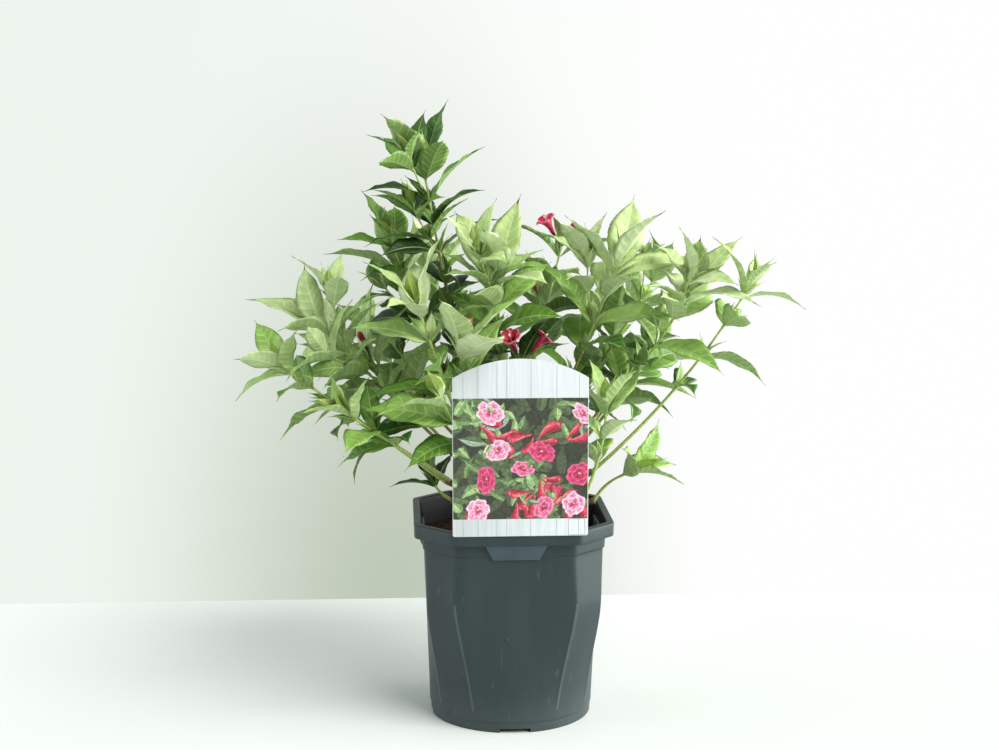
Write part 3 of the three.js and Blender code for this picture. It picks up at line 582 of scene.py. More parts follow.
def loose_chips():
    """Flat splinters of bark, dealt out over the soil and tipped a little."""
    dice = np.random.RandomState(31)
    cube = np.array([(x, y, z) for z in (-1, 1) for x, y in ((-1, -1), (1, -1), (1, 1), (-1, 1))], float)
    _, sides = box_between((0, 0, 0), (1, 1, 1))
    forms = []
    while len(forms) < CHIP["count"]:
        far, turn = CHIP["reach"] * math.sqrt(dice.uniform(0.04, 1)), dice.uniform(0, 2 * math.pi)
        x, y = far * math.cos(turn), far * math.sin(turn)
        long = dice.uniform(*CHIP["long"])
        chip = cube * (long, long * dice.uniform(*CHIP["wide"]), dice.uniform(*CHIP["thick"]))
        chip *= 1 + dice.uniform(*CHIP["uneven"], (8, 1))
        spin, tip = dice.uniform(0, math.pi), dice.uniform(-CHIP["tip"], CHIP["tip"])
        c, s = math.cos(tip), math.sin(tip)
        chip = chip @ np.array([[c, 0, s], [0, 1, 0], [-s, 0, c]])
        chip = np.array(turned(chip, spin)) + (x, y, soil_top(x, y) + 0.25)
        if np.abs(chip[:, :2]).max() < CHIP["reach"] + 0.5 and far < CHIP["reach"]:
            forms.append((chip, sides))
    return joined(forms)


def make_soil():
    ground = add_piece("potting_soil", *soil_filling(), [soil_crumbs()])
    chips = applied(add_piece("soil_chips", *loose_chips(), [bark_chips()]), "BEVEL",
                    width=CHIP["rounding"] * MM, segments=1)
    for thing in (ground, chips):
        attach(thing, "root")
        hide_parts("soil")


make_soil()

# ---------------------------------------------------------------------------- picture card
# A thin white plastic card with an arched top, printed on its front, that hangs in front of the
# collar by a tongue bent over the rim. The print is a plank pattern round a panel of blossom.
CARD = {"width": 118.6, "middle": 3.0, "foot": 186.0, "shoulder": 326.0, "top": 343.0,
        "thickness": 0.9, "gap": 0.3, "corner": 1.2, "edge": 0.18}
TONGUE = {"width": 34.0, "taper": 2.5, "taper_from": 0.93, "hook": 7.5, "hangs": 20.0, "bend": 1.6}
CARD_BACK = -(POT["half_width"] + CARD["gap"])
CARD_FACE = CARD_BACK - CARD["thickness"]
PANEL = {"low": 201.5, "high": 308.5, "margin": 0.5}
INK = {"proud": 0.06, "sunk": 0.2}
SEAMS = (-50.0, -37.0, -20.5, -12.0, 9.0, 31.5, 51.0)
SEAM_WIDTH = 0.55
SQUARE = {"left": 42.0, "low": CARD["foot"] + 0.5, "side": 14.4, "line": 0.5}
BLOSSOMS = {"rows": 4, "columns": 4, "left": -43, "apart": 29, "shift": 12, "low": 13, "rise": 26,
            "loose": 6, "size": (10, 13.5), "bare": ((0, 1), (1, 2), (2, 0), (2, 3), (3, 1), (3, 2))}
PRINT_TONES = {
    "shade": (50, 54, 42), "leaf_shade": (70, 80, 58), "leaf_dark": (84, 104, 68), "leaf": (112, 140, 88),
    "leaf_light": (148, 176, 120), "leaf_pale": (188, 208, 162), "grey_leaf": (144, 158, 150),
    "stalk": (126, 76, 70), "bud_dark": (142, 36, 52), "bud": (184, 52, 72), "bud_light": (202, 82, 98),
    "coral": (216, 122, 128), "petal_pale": (226, 184, 202), "petal_light": (212, 132, 164),
    "petal": (200, 84, 124), "petal_deep": (182, 50, 90), "petal_dark": (150, 34, 68),
    "throat": (222, 190, 170)}


def printed(name, colour, spread=0.12):
    """Glossy print of one ink: mottled lighter and darker, as a printed picture is."""
    ink = material(name, Roughness=0.32, Specular_IOR_Level=0.45)
    blotch = ink.noise(ink.place, 330.0, 4.0, 0.65)
    ink.mottle(blotch.between(0.3, 0.7), colour, 1 - 1.3 * spread, 1 + spread, 6)
    return ink


def trimmed(outline):
    """What of an outline lies on the panel."""
    half = CARD["width"] / 2 - PANEL["margin"]
    for axis, sign, limit in ((0, 1, half), (0, -1, half), (1, 1, PANEL["high"]), (1, -1, -PANEL["low"])):
        kept = []
        for a, b in zip(outline, outline[1:] + outline[:1]):
            over_a, over_b = sign * a[axis] - limit, sign * b[axis] - limit
            if over_a <= 0:
                kept.append(a)
            if over_a * over_b < 0:
                share = over_a / (over_a - over_b)
                kept.append((a[0] + (b[0] - a[0]) * share, a[1] + (b[1] - a[1]) * share))
        outline = kept
        if len(outline) < 3:
            return []
    return outline


def spun(along, up, turn):
    """Places on the panel turned about their origin."""
    c, s = math.cos(turn), math.sin(turn)
    return along * c - up * s, along * s + up * c


def band(far, spine, half, low, high):
    """The outline of a band that follows a spine, from one share of its half-width to another."""
    there, back = spine + high * half, spine + low * half
    return list(zip(far, there)) + list(zip(far[::-1], back[::-1]))


class Print:
    """Patches of ink laid one over another on the panel, then cut into one flat sheet of colours."""

    def __init__(self):
        self.outlines, self.inks = [], []

    def patch(self, ink, outline):
        """A patch of one ink, trimmed to the panel; what is no more than a speck is left out."""
        outline = trimmed(outline)
        turn = sum(a[0] * b[1] - b[0] * a[1] for a, b in zip(outline, outline[1:] + outline[:1]))
        if len(outline) > 2 and abs(turn) > 0.04:
            self.outlines.append(outline if turn > 0 else outline[::-1])
            self.inks.append(list(PRINT_TONES).index(ink))

    def placed(self, ink, shape, x, z, turn, squash=1.0, tilt=0.0):
        """A patch from points round an origin: turned, foreshortened along a tilt, and moved."""
        near, far = spun(*spun(*np.array(shape).T, turn), -tilt)
        far = far * squash
        c, s = math.cos(tilt), math.sin(tilt)
        self.patch(ink, list(zip(x + near * c - far * s, z + near * s + far * c)))

    def leaf(self, inks, x, z, long, wide, turn, bend):
        """A pointed leaf: its darker whole, its lit half, a pale midrib."""
        t = np.linspace(0, 1, 10)
        spine = bend * long * np.sin(np.pi * t)
        half = wide / 2 * np.sin(np.pi * t ** 0.8) ** 1.1
        for ink, low, high in zip(inks, (-1.0, 0.08, -0.05), (1.0, 0.86, 0.06)):
            self.placed(ink, band(long * t, spine, half, low, high)[1:-1], x, z, turn)

    def funnel(self, x, z, long, turn, bend):
        """A flower from the side: a slim tube that widens to a lobed mouth, lit along one edge."""
        t = np.linspace(0, 1, 9)
        half = long * (0.07 + 0.18 * smooth_step(t * 1.1) ** 1.3)
        spine = bend * long * np.sin(np.pi * t)
        stalk = [(-0.3 * long, -0.02 * long), (0, -0.03 * long), (0, 0.03 * long)]
        mouth = [(long * (1.0 + 0.10 * math.cos(3 * a) + 0.16 * math.cos(a)), 0.25 * long * math.sin(a))
                 for a in np.linspace(-1.9, 1.9, 12)]
        self.placed("stalk", stalk, x, z, turn)
        self.placed("bud_dark", mouth, x, z, turn)
        for ink, low, high, end in (("bud_dark", -1, 1, 1.0), ("bud", -0.35, 0.95, 1.0),
                                    ("bud_light", 0.15, 0.8, 0.94), ("coral", 0.45, 0.68, 0.8)):
            self.placed(ink, band(long * t * end, spine, half, low, high), x, z, turn)
        self.placed("petal", [(long + 0.55 * (px - long), 0.8 * pz) for px, pz in mouth], x, z, turn)

    def blossom(self, inks, x, z, size, dice):
        """Ruffled petals that overlap, each deeper towards its foot, round a streaked throat."""
        turn, tilt, squash = dice.uniform(0, 6.3), dice.uniform(0, 3.1), dice.uniform(0.6, 0.95)
        rounds = np.linspace(0, 2 * math.pi, 16, endpoint=False)
        for petal in (0, 2, 4, 1, 3, 5.5, 7.5, 9.5, 6.5, 8.5):
            ring = size * (1.0 if petal < 5 else 0.6)
            angle = turn + petal * 2 * math.pi / 5 + dice.uniform(-0.2, 0.2)
            ruffle = 1 + 0.10 * np.cos(5 * rounds + dice.uniform(0, 6))
            ruffle = ruffle + 0.08 * np.cos(3 * rounds + dice.uniform(0, 6))
            for ink, share, inward in zip(inks, (1.0, 0.8, 0.58, 0.36), (0.0, 0.08, 0.2, 0.3)):
                shape = [(ring * ((0.54 - inward) + 0.5 * share * r * math.cos(a)),
                          ring * 0.56 * share * r * math.sin(a)) for a, r in zip(rounds, ruffle)]
                self.placed(ink, shape, x, z, angle, squash, tilt)

        def ray(ink, foot, end, half, angle):
            shape = [(foot * size, -half * size), (end * size, 0), (foot * size, half * size)]
            self.placed(ink, shape, x, z, angle, squash, tilt)

        for streak in range(6):
            ray("petal_dark", 0.04, 0.3, 0.05, turn + streak * 1.05 + dice.uniform(-0.3, 0.3))
        for anther in range(3):
            ray("throat", 0.02, 0.24, 0.035, turn + 0.8 * anther + tilt)

    def strew(self, count, kinds, long, wide, bend, dice):
        """Leaves dealt out over the panel, of each kind in turn."""
        half = CARD["width"] / 2
        for i in range(count):
            x, z = dice.uniform(-half, half), dice.uniform(PANEL["low"], PANEL["high"])
            self.leaf(kinds[i % len(kinds)], x, z, dice.uniform(*long), dice.uniform(*wide),
                      dice.uniform(0, 6.3), dice.uniform(-bend, bend))

    def fan(self, dice):
        """Two or three flowers seen from the side that spread from one spot."""
        half = CARD["width"] / 2
        x, z = dice.uniform(-half + 6, half - 6), dice.uniform(PANEL["low"] + 6, PANEL["high"] - 14)
        middle = dice.uniform(0, 6.3)
        for j in range(dice.randint(2, 4)):
            turn = middle + (j - 1) * dice.uniform(0.45, 0.9)
            self.funnel(x + 4 * math.cos(turn), z + 4 * math.sin(turn), dice.uniform(12, 21), turn,
                        dice.uniform(-0.12, 0.12))

    def open_blossoms(self, kinds, dice):
        """Open flowers on a loose grid whose odd rows are shifted, with some of its spots left bare."""
        grid, loose = BLOSSOMS, BLOSSOMS["loose"]
        for row in range(grid["rows"]):
            for column in range(grid["columns"]):
                if (row, column) in grid["bare"]:
                    continue
                shift = grid["shift"] if row % 2 else 0
                x = grid["left"] + grid["apart"] * column + shift + dice.uniform(-loose, loose)
                z = PANEL["low"] + grid["low"] + grid["rise"] * row + dice.uniform(-loose, loose)
                self.blossom(kinds[(row + column) % len(kinds)], x, z, dice.uniform(*grid["size"]), dice)

    def cut(self):
        """The patches cut along one another's edges: the spots, the pieces between them, and for
        each piece the number of the ink that lies on top of it."""
        spots = [Vector(point) for outline in self.outlines for point in outline]
        ends = np.cumsum([len(outline) for outline in self.outlines])
        rounds = [list(range(end - len(outline), end)) for outline, end in zip(self.outlines, ends)]
        pieces = delaunay_2d_cdt(spots, [], rounds, 1, 0.004)
        flat, faces = np.array([tuple(spot) for spot in pieces[0]]), [tuple(piece) for piece in pieces[2]]
        centres = np.array([flat[list(face)].mean(0) for face in faces])
        tones = np.zeros(len(faces), int)
        for outline, ink in zip(self.outlines, self.inks):
            start = np.array(outline)
            end = np.roll(start, -1, 0)
            near = np.flatnonzero(((centres > start.min(0)) & (centres < start.max(0))).all(1))
            x, z = centres[near].T[..., None]
            rise = np.where(end[:, 1] == start[:, 1], 1.0, end[:, 1] - start[:, 1])
            meets = start[:, 0] + (end[:, 0] - start[:, 0]) * (z - start[:, 1]) / rise
            crossings = ((start[:, 1] > z) != (end[:, 1] > z)) & (x < meets)
            tones[near[crossings.sum(1) % 2 == 1]] = ink
        return flat, faces, tones


def rim_of(faces):
    """The spots along the edge of a flat sheet of faces, in order."""
    sides = {(a, b) for face in faces for a, b in zip(face, face[1:] + face[:1])}
    after = {a: b for a, b in sides if (b, a) not in sides}
    rim = [next(iter(after))]
    while after[rim[-1]] != rim[0]:
        rim.append(after[rim[-1]])
    return rim


def thickened(flat, faces, front, back):
    """A flat sheet of faces as a form that reaches from the front to the back."""
    rim, count = rim_of(faces), len(flat)
    points = [(x, front, z) for x, z in flat] + [(flat[i][0], back, flat[i][1]) for i in rim]
    walls = [(spot, count + i, count + (i + 1) % len(rim), rim[(i + 1) % len(rim)])
             for i, spot in enumerate(rim)]
    return points, [*faces, *walls, tuple(count + i for i in reversed(range(len(rim))))]


def make_print():
    """The panel of blossom, dealt out by a seeded rule: dim leaves far off, then nearer ones, then
    flowers from the side in loose fans, then open ones, and a few small leaves over them."""
    dice = np.random.RandomState(41)
    picture = Print()
    edge, low, high = CARD["width"] / 2 - PANEL["margin"], PANEL["low"], PANEL["high"]
    picture.patch("shade", [(-edge, low), (edge, low), (edge, high), (-edge, high)])
    dim = (("leaf_shade", "leaf_shade", "leaf_shade"), ("leaf_dark", "leaf_shade", "leaf_dark"))
    green, fresh = ("leaf_dark", "leaf", "leaf_light"), ("leaf", "leaf_light", "leaf_pale")
    shaded, grey = ("leaf_shade", "leaf_dark", "leaf"), ("leaf_dark", "grey_leaf", "leaf_pale")
    kinds = (green, fresh, shaded, grey, fresh, green)
    pale = ("petal_pale", "petal_light", "petal", "petal_deep")
    deep = ("petal", "petal_deep", "petal_dark", "petal_deep")
    bright = ("petal_light", "petal", "petal_deep", "petal_dark")
    picture.strew(76, dim, (14, 34), (7, 13), 0.1, dice)
    picture.strew(84, kinds, (11, 27), (4.5, 9.5), 0.12, dice)
    for _ in range(11):
        picture.fan(dice)
    picture.open_blossoms((pale, deep, bright), dice)
    picture.strew(16, kinds, (7, 14), (3, 5.5), 0.12, dice)
    flat, pieces, tones = picture.cut()
    points, faces = thickened(flat, pieces, CARD_FACE - INK["proud"], CARD_FACE + INK["sunk"])
    inks = [printed(f"print_{name}", tone) for name, tone in PRINT_TONES.items()]
    edge_tones = [0] * (len(faces) - len(pieces))
    return add_piece("card_picture", points, faces, inks, [*tones, *edge_tones], smooth=False)


def arch_height(x):
    """The height of the card's arched top over a point of its width."""
    rise = CARD["top"] - CARD["shoulder"]
    radius = ((CARD["width"] / 2) ** 2 + rise ** 2) / (2 * rise)
    return CARD["top"] - radius + math.sqrt(radius ** 2 - x ** 2)


def line_of_ink(left, low, right, high, layers=1):
    """A thin upright box of ink that stands a layer or two proud of the card's face."""
    return box_between((left, CARD_FACE - layers * INK["proud"], low), (right, CARD_FACE + INK["sunk"], high))


def make_rules():
    """The lines in the white border: the seams of its boards, and one plain square by the foot."""
    forms = []
    for x in SEAMS:
        for low, high in ((PANEL["high"] + 0.4, arch_height(x) - 1.0),
                          (CARD["foot"] + 0.8, PANEL["low"] - 0.4)):
            forms.append(line_of_ink(x - SEAM_WIDTH / 2, low, x + SEAM_WIDTH / 2, high))
    left, low, line = SQUARE["left"], SQUARE["low"], SQUARE["line"]
    right, high = left + SQUARE["side"], low + SQUARE["side"]
    for side in ((left, low, left + line, high), (right, low, right + line, high),
                 (left, low, right, low + line), (left, high, right + line, high + line)):
        forms.append(line_of_ink(*side, layers=2))
    grey = printed("print_rules", (158, 166, 174), 0.03)
    return add_piece("card_rules", *joined(forms), [grey], smooth=False)


def card_plastic():
    """White printed plastic: a hint of wood grain down the boards, and a soft gloss."""
    white = material("card_plastic", Roughness=0.32, Specular_IOR_Level=0.4)
    grain = white.noise(white.stretched(420.0, 420.0, 22.0), 1.0, 4.0)
    white.paint(white.mix(grain.between(0.25, 0.75), linear(192, 198, 201), linear(205, 210, 213)))
    white.bump(white.noise(white.place, 300.0), 0.00005, 0.4)
    return white


def card_sheet():
    """The flat sheet: straight below, with its two corners cut, and arched above."""
    half, foot, cut = CARD["width"] / 2, CARD["foot"], CARD["corner"]
    edge = [(-half, foot + cut), (-half + cut, foot), (half - cut, foot), (half, foot + cut)]
    edge += [(x, arch_height(x)) for x in half * np.cos(np.linspace(0, math.pi, 49))]
    count = len(edge)
    points = [(x, y, z) for y in (CARD_FACE, CARD_BACK) for x, z in edge]
    faces = [tuple(range(count)), tuple(reversed(range(count, 2 * count)))]
    faces += [(i, i + count, (i + 1) % count + count, (i + 1) % count) for i in range(count)]
    return points, faces


def card_tongue():
    """The strip that leaves the sheet's back, crosses the rim and hangs inside it."""
    thickness = CARD["thickness"]
    over = POT["height"] + CARD["gap"] + thickness / 2
    reach = POT["half_width"] - RIM_INSIDE + TONGUE["hook"]
    inner = CARD_BACK + reach - thickness
    end = POT["height"] + CARD["gap"] + thickness - TONGUE["hangs"]
    bent = rounded([(CARD_BACK - 0.5, over), (inner, over), (inner, end)], TONGUE["bend"], 5)
    path = close_steps(bent, 3.0)
    along = np.gradient(path, axis=0)
    along /= np.linalg.norm(along, axis=1, keepdims=True)
    points = []
    for (y, z), (dy, dz), t in zip(path, along, np.linspace(0, 1, len(path))):
        share = max(0.0, t - TONGUE["taper_from"]) / (1 - TONGUE["taper_from"])
        wide = TONGUE["width"] / 2 - TONGUE["taper"] * share
        for x, side in ((-wide, -1), (wide, -1), (wide, 1), (-wide, 1)):
            points.append((x, y + dz * side * thickness / 2, z - dy * side * thickness / 2))
    last = len(path) - 1
    faces = [(3, 2, 1, 0), tuple(4 * last + i for i in range(4))]
    faces += [(4 * r + i, 4 * r + (i + 1) % 4, 4 * r + 4 + (i + 1) % 4, 4 * r + 4 + i)
              for r in range(last) for i in range(4)]
    return points, faces


def make_card():
    card = add_piece("card_sheet", *joined([card_sheet(), card_tongue()]), [card_plastic()])
    applied(card, "BEVEL", width=CARD["edge"] * MM, segments=2, limit_method="ANGLE")
    card.data.set_sharp_from_angle(angle=math.radians(40))
    for thing in (card, make_print(), make_rules()):
        thing.data.transform(Matrix.Translation((CARD["middle"] * MM, 0.0, 0.0)))
        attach(thing, "root")
        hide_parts("picture_card")


make_card()

# ---------------------------------------------------------------------------- how the plant grows
# The shrub: fifteen woody boughs fan out of a short stump, and each forks just above the rim into
# leafy shoots. Leaves stand in pairs, each pair a quarter turn from the last, the youngest at the
# end; lower down a shoot bears side twigs. A blade that has no room is swung, raised or left out.
STUMP = {"flare": 17.0, "waist": 11.5, "height": 27.0}
BOUGHS = {
    "left_low": (-58, -27, 222), "left": (-41, -3, 232), "left_front": (-35, -36, 242),
    "left_tall": (-24, 16, 240), "centre": (0, 35, 240), "front": (-2, -45, 236),
    "right_tall": (23, -1, 245), "right": (48, 7, 230), "right_low": (72, -29, 230),
    "right_front": (62, -52, 209), "back_left": (-27, 62, 229), "back": (9, 75, 231),
    "back_right": (41, 58, 229), "rim_left": (-54, 8, 197), "rim_right": (76, -14, 200),
}

# Each shoot: its bough, the end of its stem, the stem's outward bow, how much of its foot is bare,
# the length of its leaves, the youngest pair's share of that, that pair's turn about the stem in
# degrees, the distance between pairs, its side twigs, its open flowers, its buds, and how deep its
# green is, from 0 to 1: partly its own colour and partly painted shade for its place in the crown.
SHOOT_FIELDS = ("bough", "end", "bow", "bare", "leaf", "young", "turn", "step", "twigs", "open", "buds",
                "tone")
SHOOTS = {
    "top": ("left_tall", (-78, 4, 501), 6, 70, 70, 0.92, 25, 23, 3, 0, 0, 0.72),
    "middle": ("centre", (-13, -34, 409), 0, 50, 72, 1, 45, 25, 2, 0, 0, 0.28),
    "right_top": ("right_tall", (96, -5, 413), 4, 60, 74, 0.95, 90, 24, 2, 0, 0, 0.2),
    "left_top": ("left", (-171, -5, 360), 0, 50, 72, 1, 160, 24, 2, 0, 0, 0.3),
    "right_up": ("right", (160, -24, 393), 10, 60, 72, 0.9, 50, 26, 2, 0, 0, 0.26),
    "shoulder": ("left_front", (-84, -50, 381), 0, 40, 74, 0.9, 0, 24, 0, 0, 0, 0.2),
    "inner": ("left", (-127, 22, 325), 4, 40, 72, 1, 45, 23, 1, 0, 1, 0.36),
    "top_left": ("left_tall", (-99, 46, 410), 4, 60, 72, 0.85, 90, 24, 2, 0, 0, 0.58),
    "left_out": ("left_low", (-204, -27, 327), 0, 50, 58, 0.9, 70, 24, 1, 0, 0, 0.42),
    "collar_top": ("left_front", (-48, -67, 346), 2, 40, 80, 1, 35, 25, 0, 0, 1, 0.14),
    "right_out": ("right_low", (210, -40, 398), 18, 100, 62, 0.62, 90, 32, 1, 0, 0, 0.38),
    "collar": ("left_front", (-65, -89, 307), 2, 20, 80, 0.95, 160, 24, 0, 0, 0, 0.26),
    "flowering": ("centre", (52, 67, 427), 0, 90, 60, 0.6, 60, 28, 0, 1, 6, 0.5),
    "right_front": ("right_front", (82, -55, 293), 8, 25, 58, 0.9, 135, 22, 1, 0, 0, 0.2),
    "right_behind": ("right_tall", (143, 67, 400), 8, 80, 52, 0.8, 0, 25, 2, 0, 0, 0.46),
    "left_mid": ("left_low", (-145, -67, 290), 0, 40, 64, 0.9, 60, 24, 1, 0, 0, 0.38),
    "flowering_low": ("front", (7, -35, 332), 0, 40, 56, 0.9, 30, 24, 0, 3, 0, 0.6),
    "right_inner": ("right", (123, 33, 327), 8, 50, 66, 0.9, 160, 25, 1, 0, 0, 0.36),
    "rim": ("rim_left", (-72, 14, 215), 4, 15, 42, 0.8, 115, 20, 0, 0, 0, 0.8),
    "rim_right": ("rim_right", (108, -22, 227), -9, 30, 64, 0.9, 160, 20, 0, 0, 0, 0.34),
    "left_inner": ("left_tall", (-116, 52, 349), 4, 50, 70, 0.9, 100, 24, 1, 0, 0, 0.62),
    "back_far_left": ("back_left", (-128, 132, 333), 10, 50, 68, 0.9, 30, 25, 1, 0, 0, 0.44),
    "back_left": ("back_left", (-67, 139, 394), 6, 60, 68, 0.9, 60, 25, 2, 0, 2, 0.44),
    "back_low": ("back", (-20, 171, 330), 10, 55, 64, 0.9, 10, 25, 1, 0, 0, 0.44),
    "back_tall": ("back", (37, 133, 369), 6, 60, 66, 0.9, 25, 25, 2, 1, 2, 0.44),
    "back_right": ("back_right", (126, 148, 355), 10, 60, 66, 0.9, 45, 25, 2, 0, 0, 0.44),
    "back_far_right": ("back_right", (142, 97, 322), 10, 60, 64, 0.9, 60, 25, 1, 0, 0, 0.44),
    "back_inner": ("back_left", (-33, 112, 313), 6, 40, 64, 0.9, 20, 25, 1, 0, 0, 0.44),
}
SHOOTS = {name: dict(zip(SHOOT_FIELDS, row)) for name, row in SHOOTS.items()}
STUMP_FOOT = SOIL["level"] + SOIL["crown"] + 0.3
STEM_FOOT = 1.8
FOOT_APART = 1.35 * STEM_FOOT
LEAF_WIDTH, LEAF_ROLL, LEAF_FOLD = 0.42, 32.0, math.radians(12)
PETIOLE, PETIOLE_HALF_WIDTH = 3.0, 0.8
SKY_TURN, SKY_LIFT = 0.42, 0.2
LEAN = {"young": 20.0, "next": 46.0, "old": 20.0}
ARCH = {"young": 32.0, "next": 45.0, "old": 14.0}
OLD_AT, NEXT_STEP, SUNK = 110.0, 0.3, 2.0
UNEVEN = {"around": 14, "length": 0.1, "width": 0.04, "arch": 12, "lean": 7, "side": 10, "step": 0.1}
TWIG = {"first": 2, "lean": 25.0, "reach": 0.72, "leaf": 0.8, "young": 0.85, "step": 24, "bare": 14}
FLOWER = {"length": 34.0, "lean": 42.0, "mouth": 9.5}
BUD = {"length": 30.0, "lean": 20.0, "waist": 2.9}
SAMPLE = 2.2
AIR = {"others": 4.2, "own": 1.4, "pot": 5.0}
SMALLER = 0.74
SWINGS = ((0, 0), (14, 0), (-14, 0), (0, -12), (28, 0), (-28, 0), (0, 14), (20, -12), (-20, -12),
          (42, 0), (-42, 0), (30, 16), (-30, 16))
UP = np.array((0.0, 0.0, 1.0))
AHEAD = np.array((0.0, 1.0, 0.0))


def unit(vector):
    return vector / math.sqrt(vector @ vector)


def cross(a, b):
    return np.array((a[1] * b[2] - a[2] * b[1], a[2] * b[0] - a[0] * b[2], a[0] * b[1] - a[1] * b[0]))


class Seed:
    """A seeded run of numbers, so that the same plant grows every time."""

    def __init__(self, start):
        self.state = start

    def next(self):
        self.state = (self.state * 1664525 + 1013904223) % 4294967296
        return self.state / 4294967296

    def spread(self, half):
        return (2 * self.next() - 1) * half


class Line:
    """The centre line of a stem that bows outwards by a distance and sways sideways by another."""

    def __init__(self, foot, tip, bow, sway):
        along = unit(tip - foot)
        rise = unit(UP - along * along[2])
        middle = (foot + tip) / 2 - rise * bow + cross(along, rise) * sway
        t = np.linspace(0, 1, 25)[:, None]
        self.points = foot * (1 - t) ** 2 + middle * (2 * t * (1 - t)) + tip * t ** 2
        steps = np.linalg.norm(np.diff(self.points, axis=0), axis=1)
        self.run = np.concatenate(([0.0], np.cumsum(steps)))
        self.length = float(self.run[-1])

    def at(self, distance):
        """The point at a distance from the foot, and the stem's direction there."""
        far = min(max(distance, 0.0), self.length)
        i = len(self.points) - 2
        while i > 0 and self.run[i] > far:
            i -= 1
        along = unit(self.points[i + 1] - self.points[i])
        return self.points[i] + along * (far - self.run[i]), along

    def samples(self):
        steps = math.ceil(self.length / SAMPLE)
        return np.array([self.at((i + 1) / steps * self.length)[0] for i in range(steps)])


class Space:
    """Remembers what already grows where."""

    def __init__(self, room=60000):
        self.points = np.empty((room, 3))
        self.owners = np.empty(room, np.int32)
        self.count = 0
        self.names = {}

    def number(self, owner):
        return self.names.setdefault(owner, len(self.names))

    def add(self, points, owner):
        end = self.count + len(points)
        if end > len(self.points):
            self.points = np.concatenate((self.points, np.empty_like(self.points)))
            self.owners = np.concatenate((self.owners, np.empty_like(self.owners)))
        self.points[self.count:end] = points
        self.owners[self.count:end] = self.number(owner)
        self.count = end

    def taken(self, points, owner, own, others):
        """Whether any point lies too near something: further off for others than for its own mass."""
        air = max(own, others)
        low, high = points.min(0) - air, points.max(0) + air
        known, owners = self.points[:self.count], self.owners[:self.count]
        near = ((known > low) & (known < high)).all(1)
        mine = owners == self.number(owner)
        if own == 0:
            near &= ~mine
        if others == 0:
            near &= mine
        known = known[near]
        if not len(known):
            return False
        air = np.where(mine[near], own, others)
        middle = (low + high) / 2
        a, b = points - middle, known - middle
        gaps = (a * a).sum(1)[:, None] + (b * b).sum(1)[None] - 2 * a @ b.T
        return bool((gaps < air * air).any())


space = Space()


def sideways(along, around):
    """The direction square to a stem that an angle about it gives."""
    reference = unit(cross(along, AHEAD))
    return reference * math.cos(around) + cross(along, reference) * math.sin(around)


def make_leaf(point, stem, around, lean, size):
    """A leaf on a stem: it leans off the stem by one angle, on the side that another angle gives."""
    out = sideways(stem, around)
    along = stem * math.cos(lean) + out * math.sin(lean)
    face = stem * math.sin(lean) - out * math.cos(lean)
    along = unit(along + UP * SKY_LIFT)
    face = unit(face - along * (face @ along))
    sky = UP - along * along[2]
    face = face * (1 - SKY_TURN) + sky * SKY_TURN
    face = unit(face - along * (face @ along))
    side = cross(face, along)
    level = face
    face = face * math.cos(size["roll"]) + side * math.sin(size["roll"])
    side = side * math.cos(size["roll"]) - level * math.sin(size["roll"])
    return {"root": point, "along": along, "face": face, "side": side, **size}


def outline(u):
    """Half the width of a blade along its length: widest before the middle, drawn out at the tip."""
    inside = np.clip(u, 1e-9, 1 - 1e-9)
    half = np.sin(np.pi * inside ** 0.8) ** (0.9 + 1.1 * inside * inside)
    return np.where((u <= 0) | (u >= 1), 0.0, half)


def blade_points(leaf, u, across, above=0.0):
    """Points of a blade: u runs from base to tip, across from edge to edge, and above off its face."""
    turn = leaf["arch"] * u
    radius = leaf["length"] / leaf["arch"]
    half = np.maximum(PETIOLE_HALF_WIDTH * (1 - u), leaf["width"] / 2 * outline(u))
    c, s = np.cos(turn)[..., None], np.sin(turn)[..., None]
    face = leaf["face"] * c + leaf["along"] * s
    rise = (np.abs(across) * half * math.sin(LEAF_FOLD) + above)[..., None]
    return (leaf["root"] + leaf["along"] * (PETIOLE + radius * s) - leaf["face"] * (radius * (1 - c))
            + leaf["side"] * (across * half * math.cos(LEAF_FOLD))[..., None] + face * rise)


def blade_samples(leaf):
    """Points spread over a blade, closer together than the air kept round it, and how far along."""
    rows = math.ceil(leaf["length"] / SAMPLE)
    steps = np.arange(rows + 1) / rows
    columns = np.ceil(leaf["width"] / 2 * outline(steps) / SAMPLE).astype(int)
    u = np.repeat(steps, 2 * columns + 1)
    across = np.concatenate([np.arange(-c, c + 1) / max(c, 1) for c in columns])
    return blade_points(leaf, u, across), u >= math.ceil(0.3 * rows) / rows - 1e-9


def is_open(p):
    """Whether points are clear of the card, the pot and the soil."""
    x, y, z = p.T
    air = AIR["pot"]
    before_card = np.abs(y + POT["half_width"]) < CARD["thickness"] + air
    near_card = before_card & (np.abs(x - CARD["middle"]) < CARD["width"] / 2 + air) & (z < CARD["top"] + air)
    near_pot = (np.maximum(np.abs(x), np.abs(y)) < POT["half_width"] + air) & (z < POT["height"] + air)
    return not (near_card | near_pot).any()


def grow_leaf(point, stem, around, lean, size, owner):
    for share in (1, SMALLER):
        for swing, raised in SWINGS:
            leaf = make_leaf(point, stem, around + math.radians(swing), lean + math.radians(raised),
                             {**size, "length": share * size["length"], "width": share * size["width"]})
            points, outer = blade_samples(leaf)
            if (is_open(points) and not space.taken(points, owner, 0, AIR["others"])
                    and not space.taken(points[outer], owner, AIR["own"], 0)):
                space.add(points, owner)
                return leaf
    return None


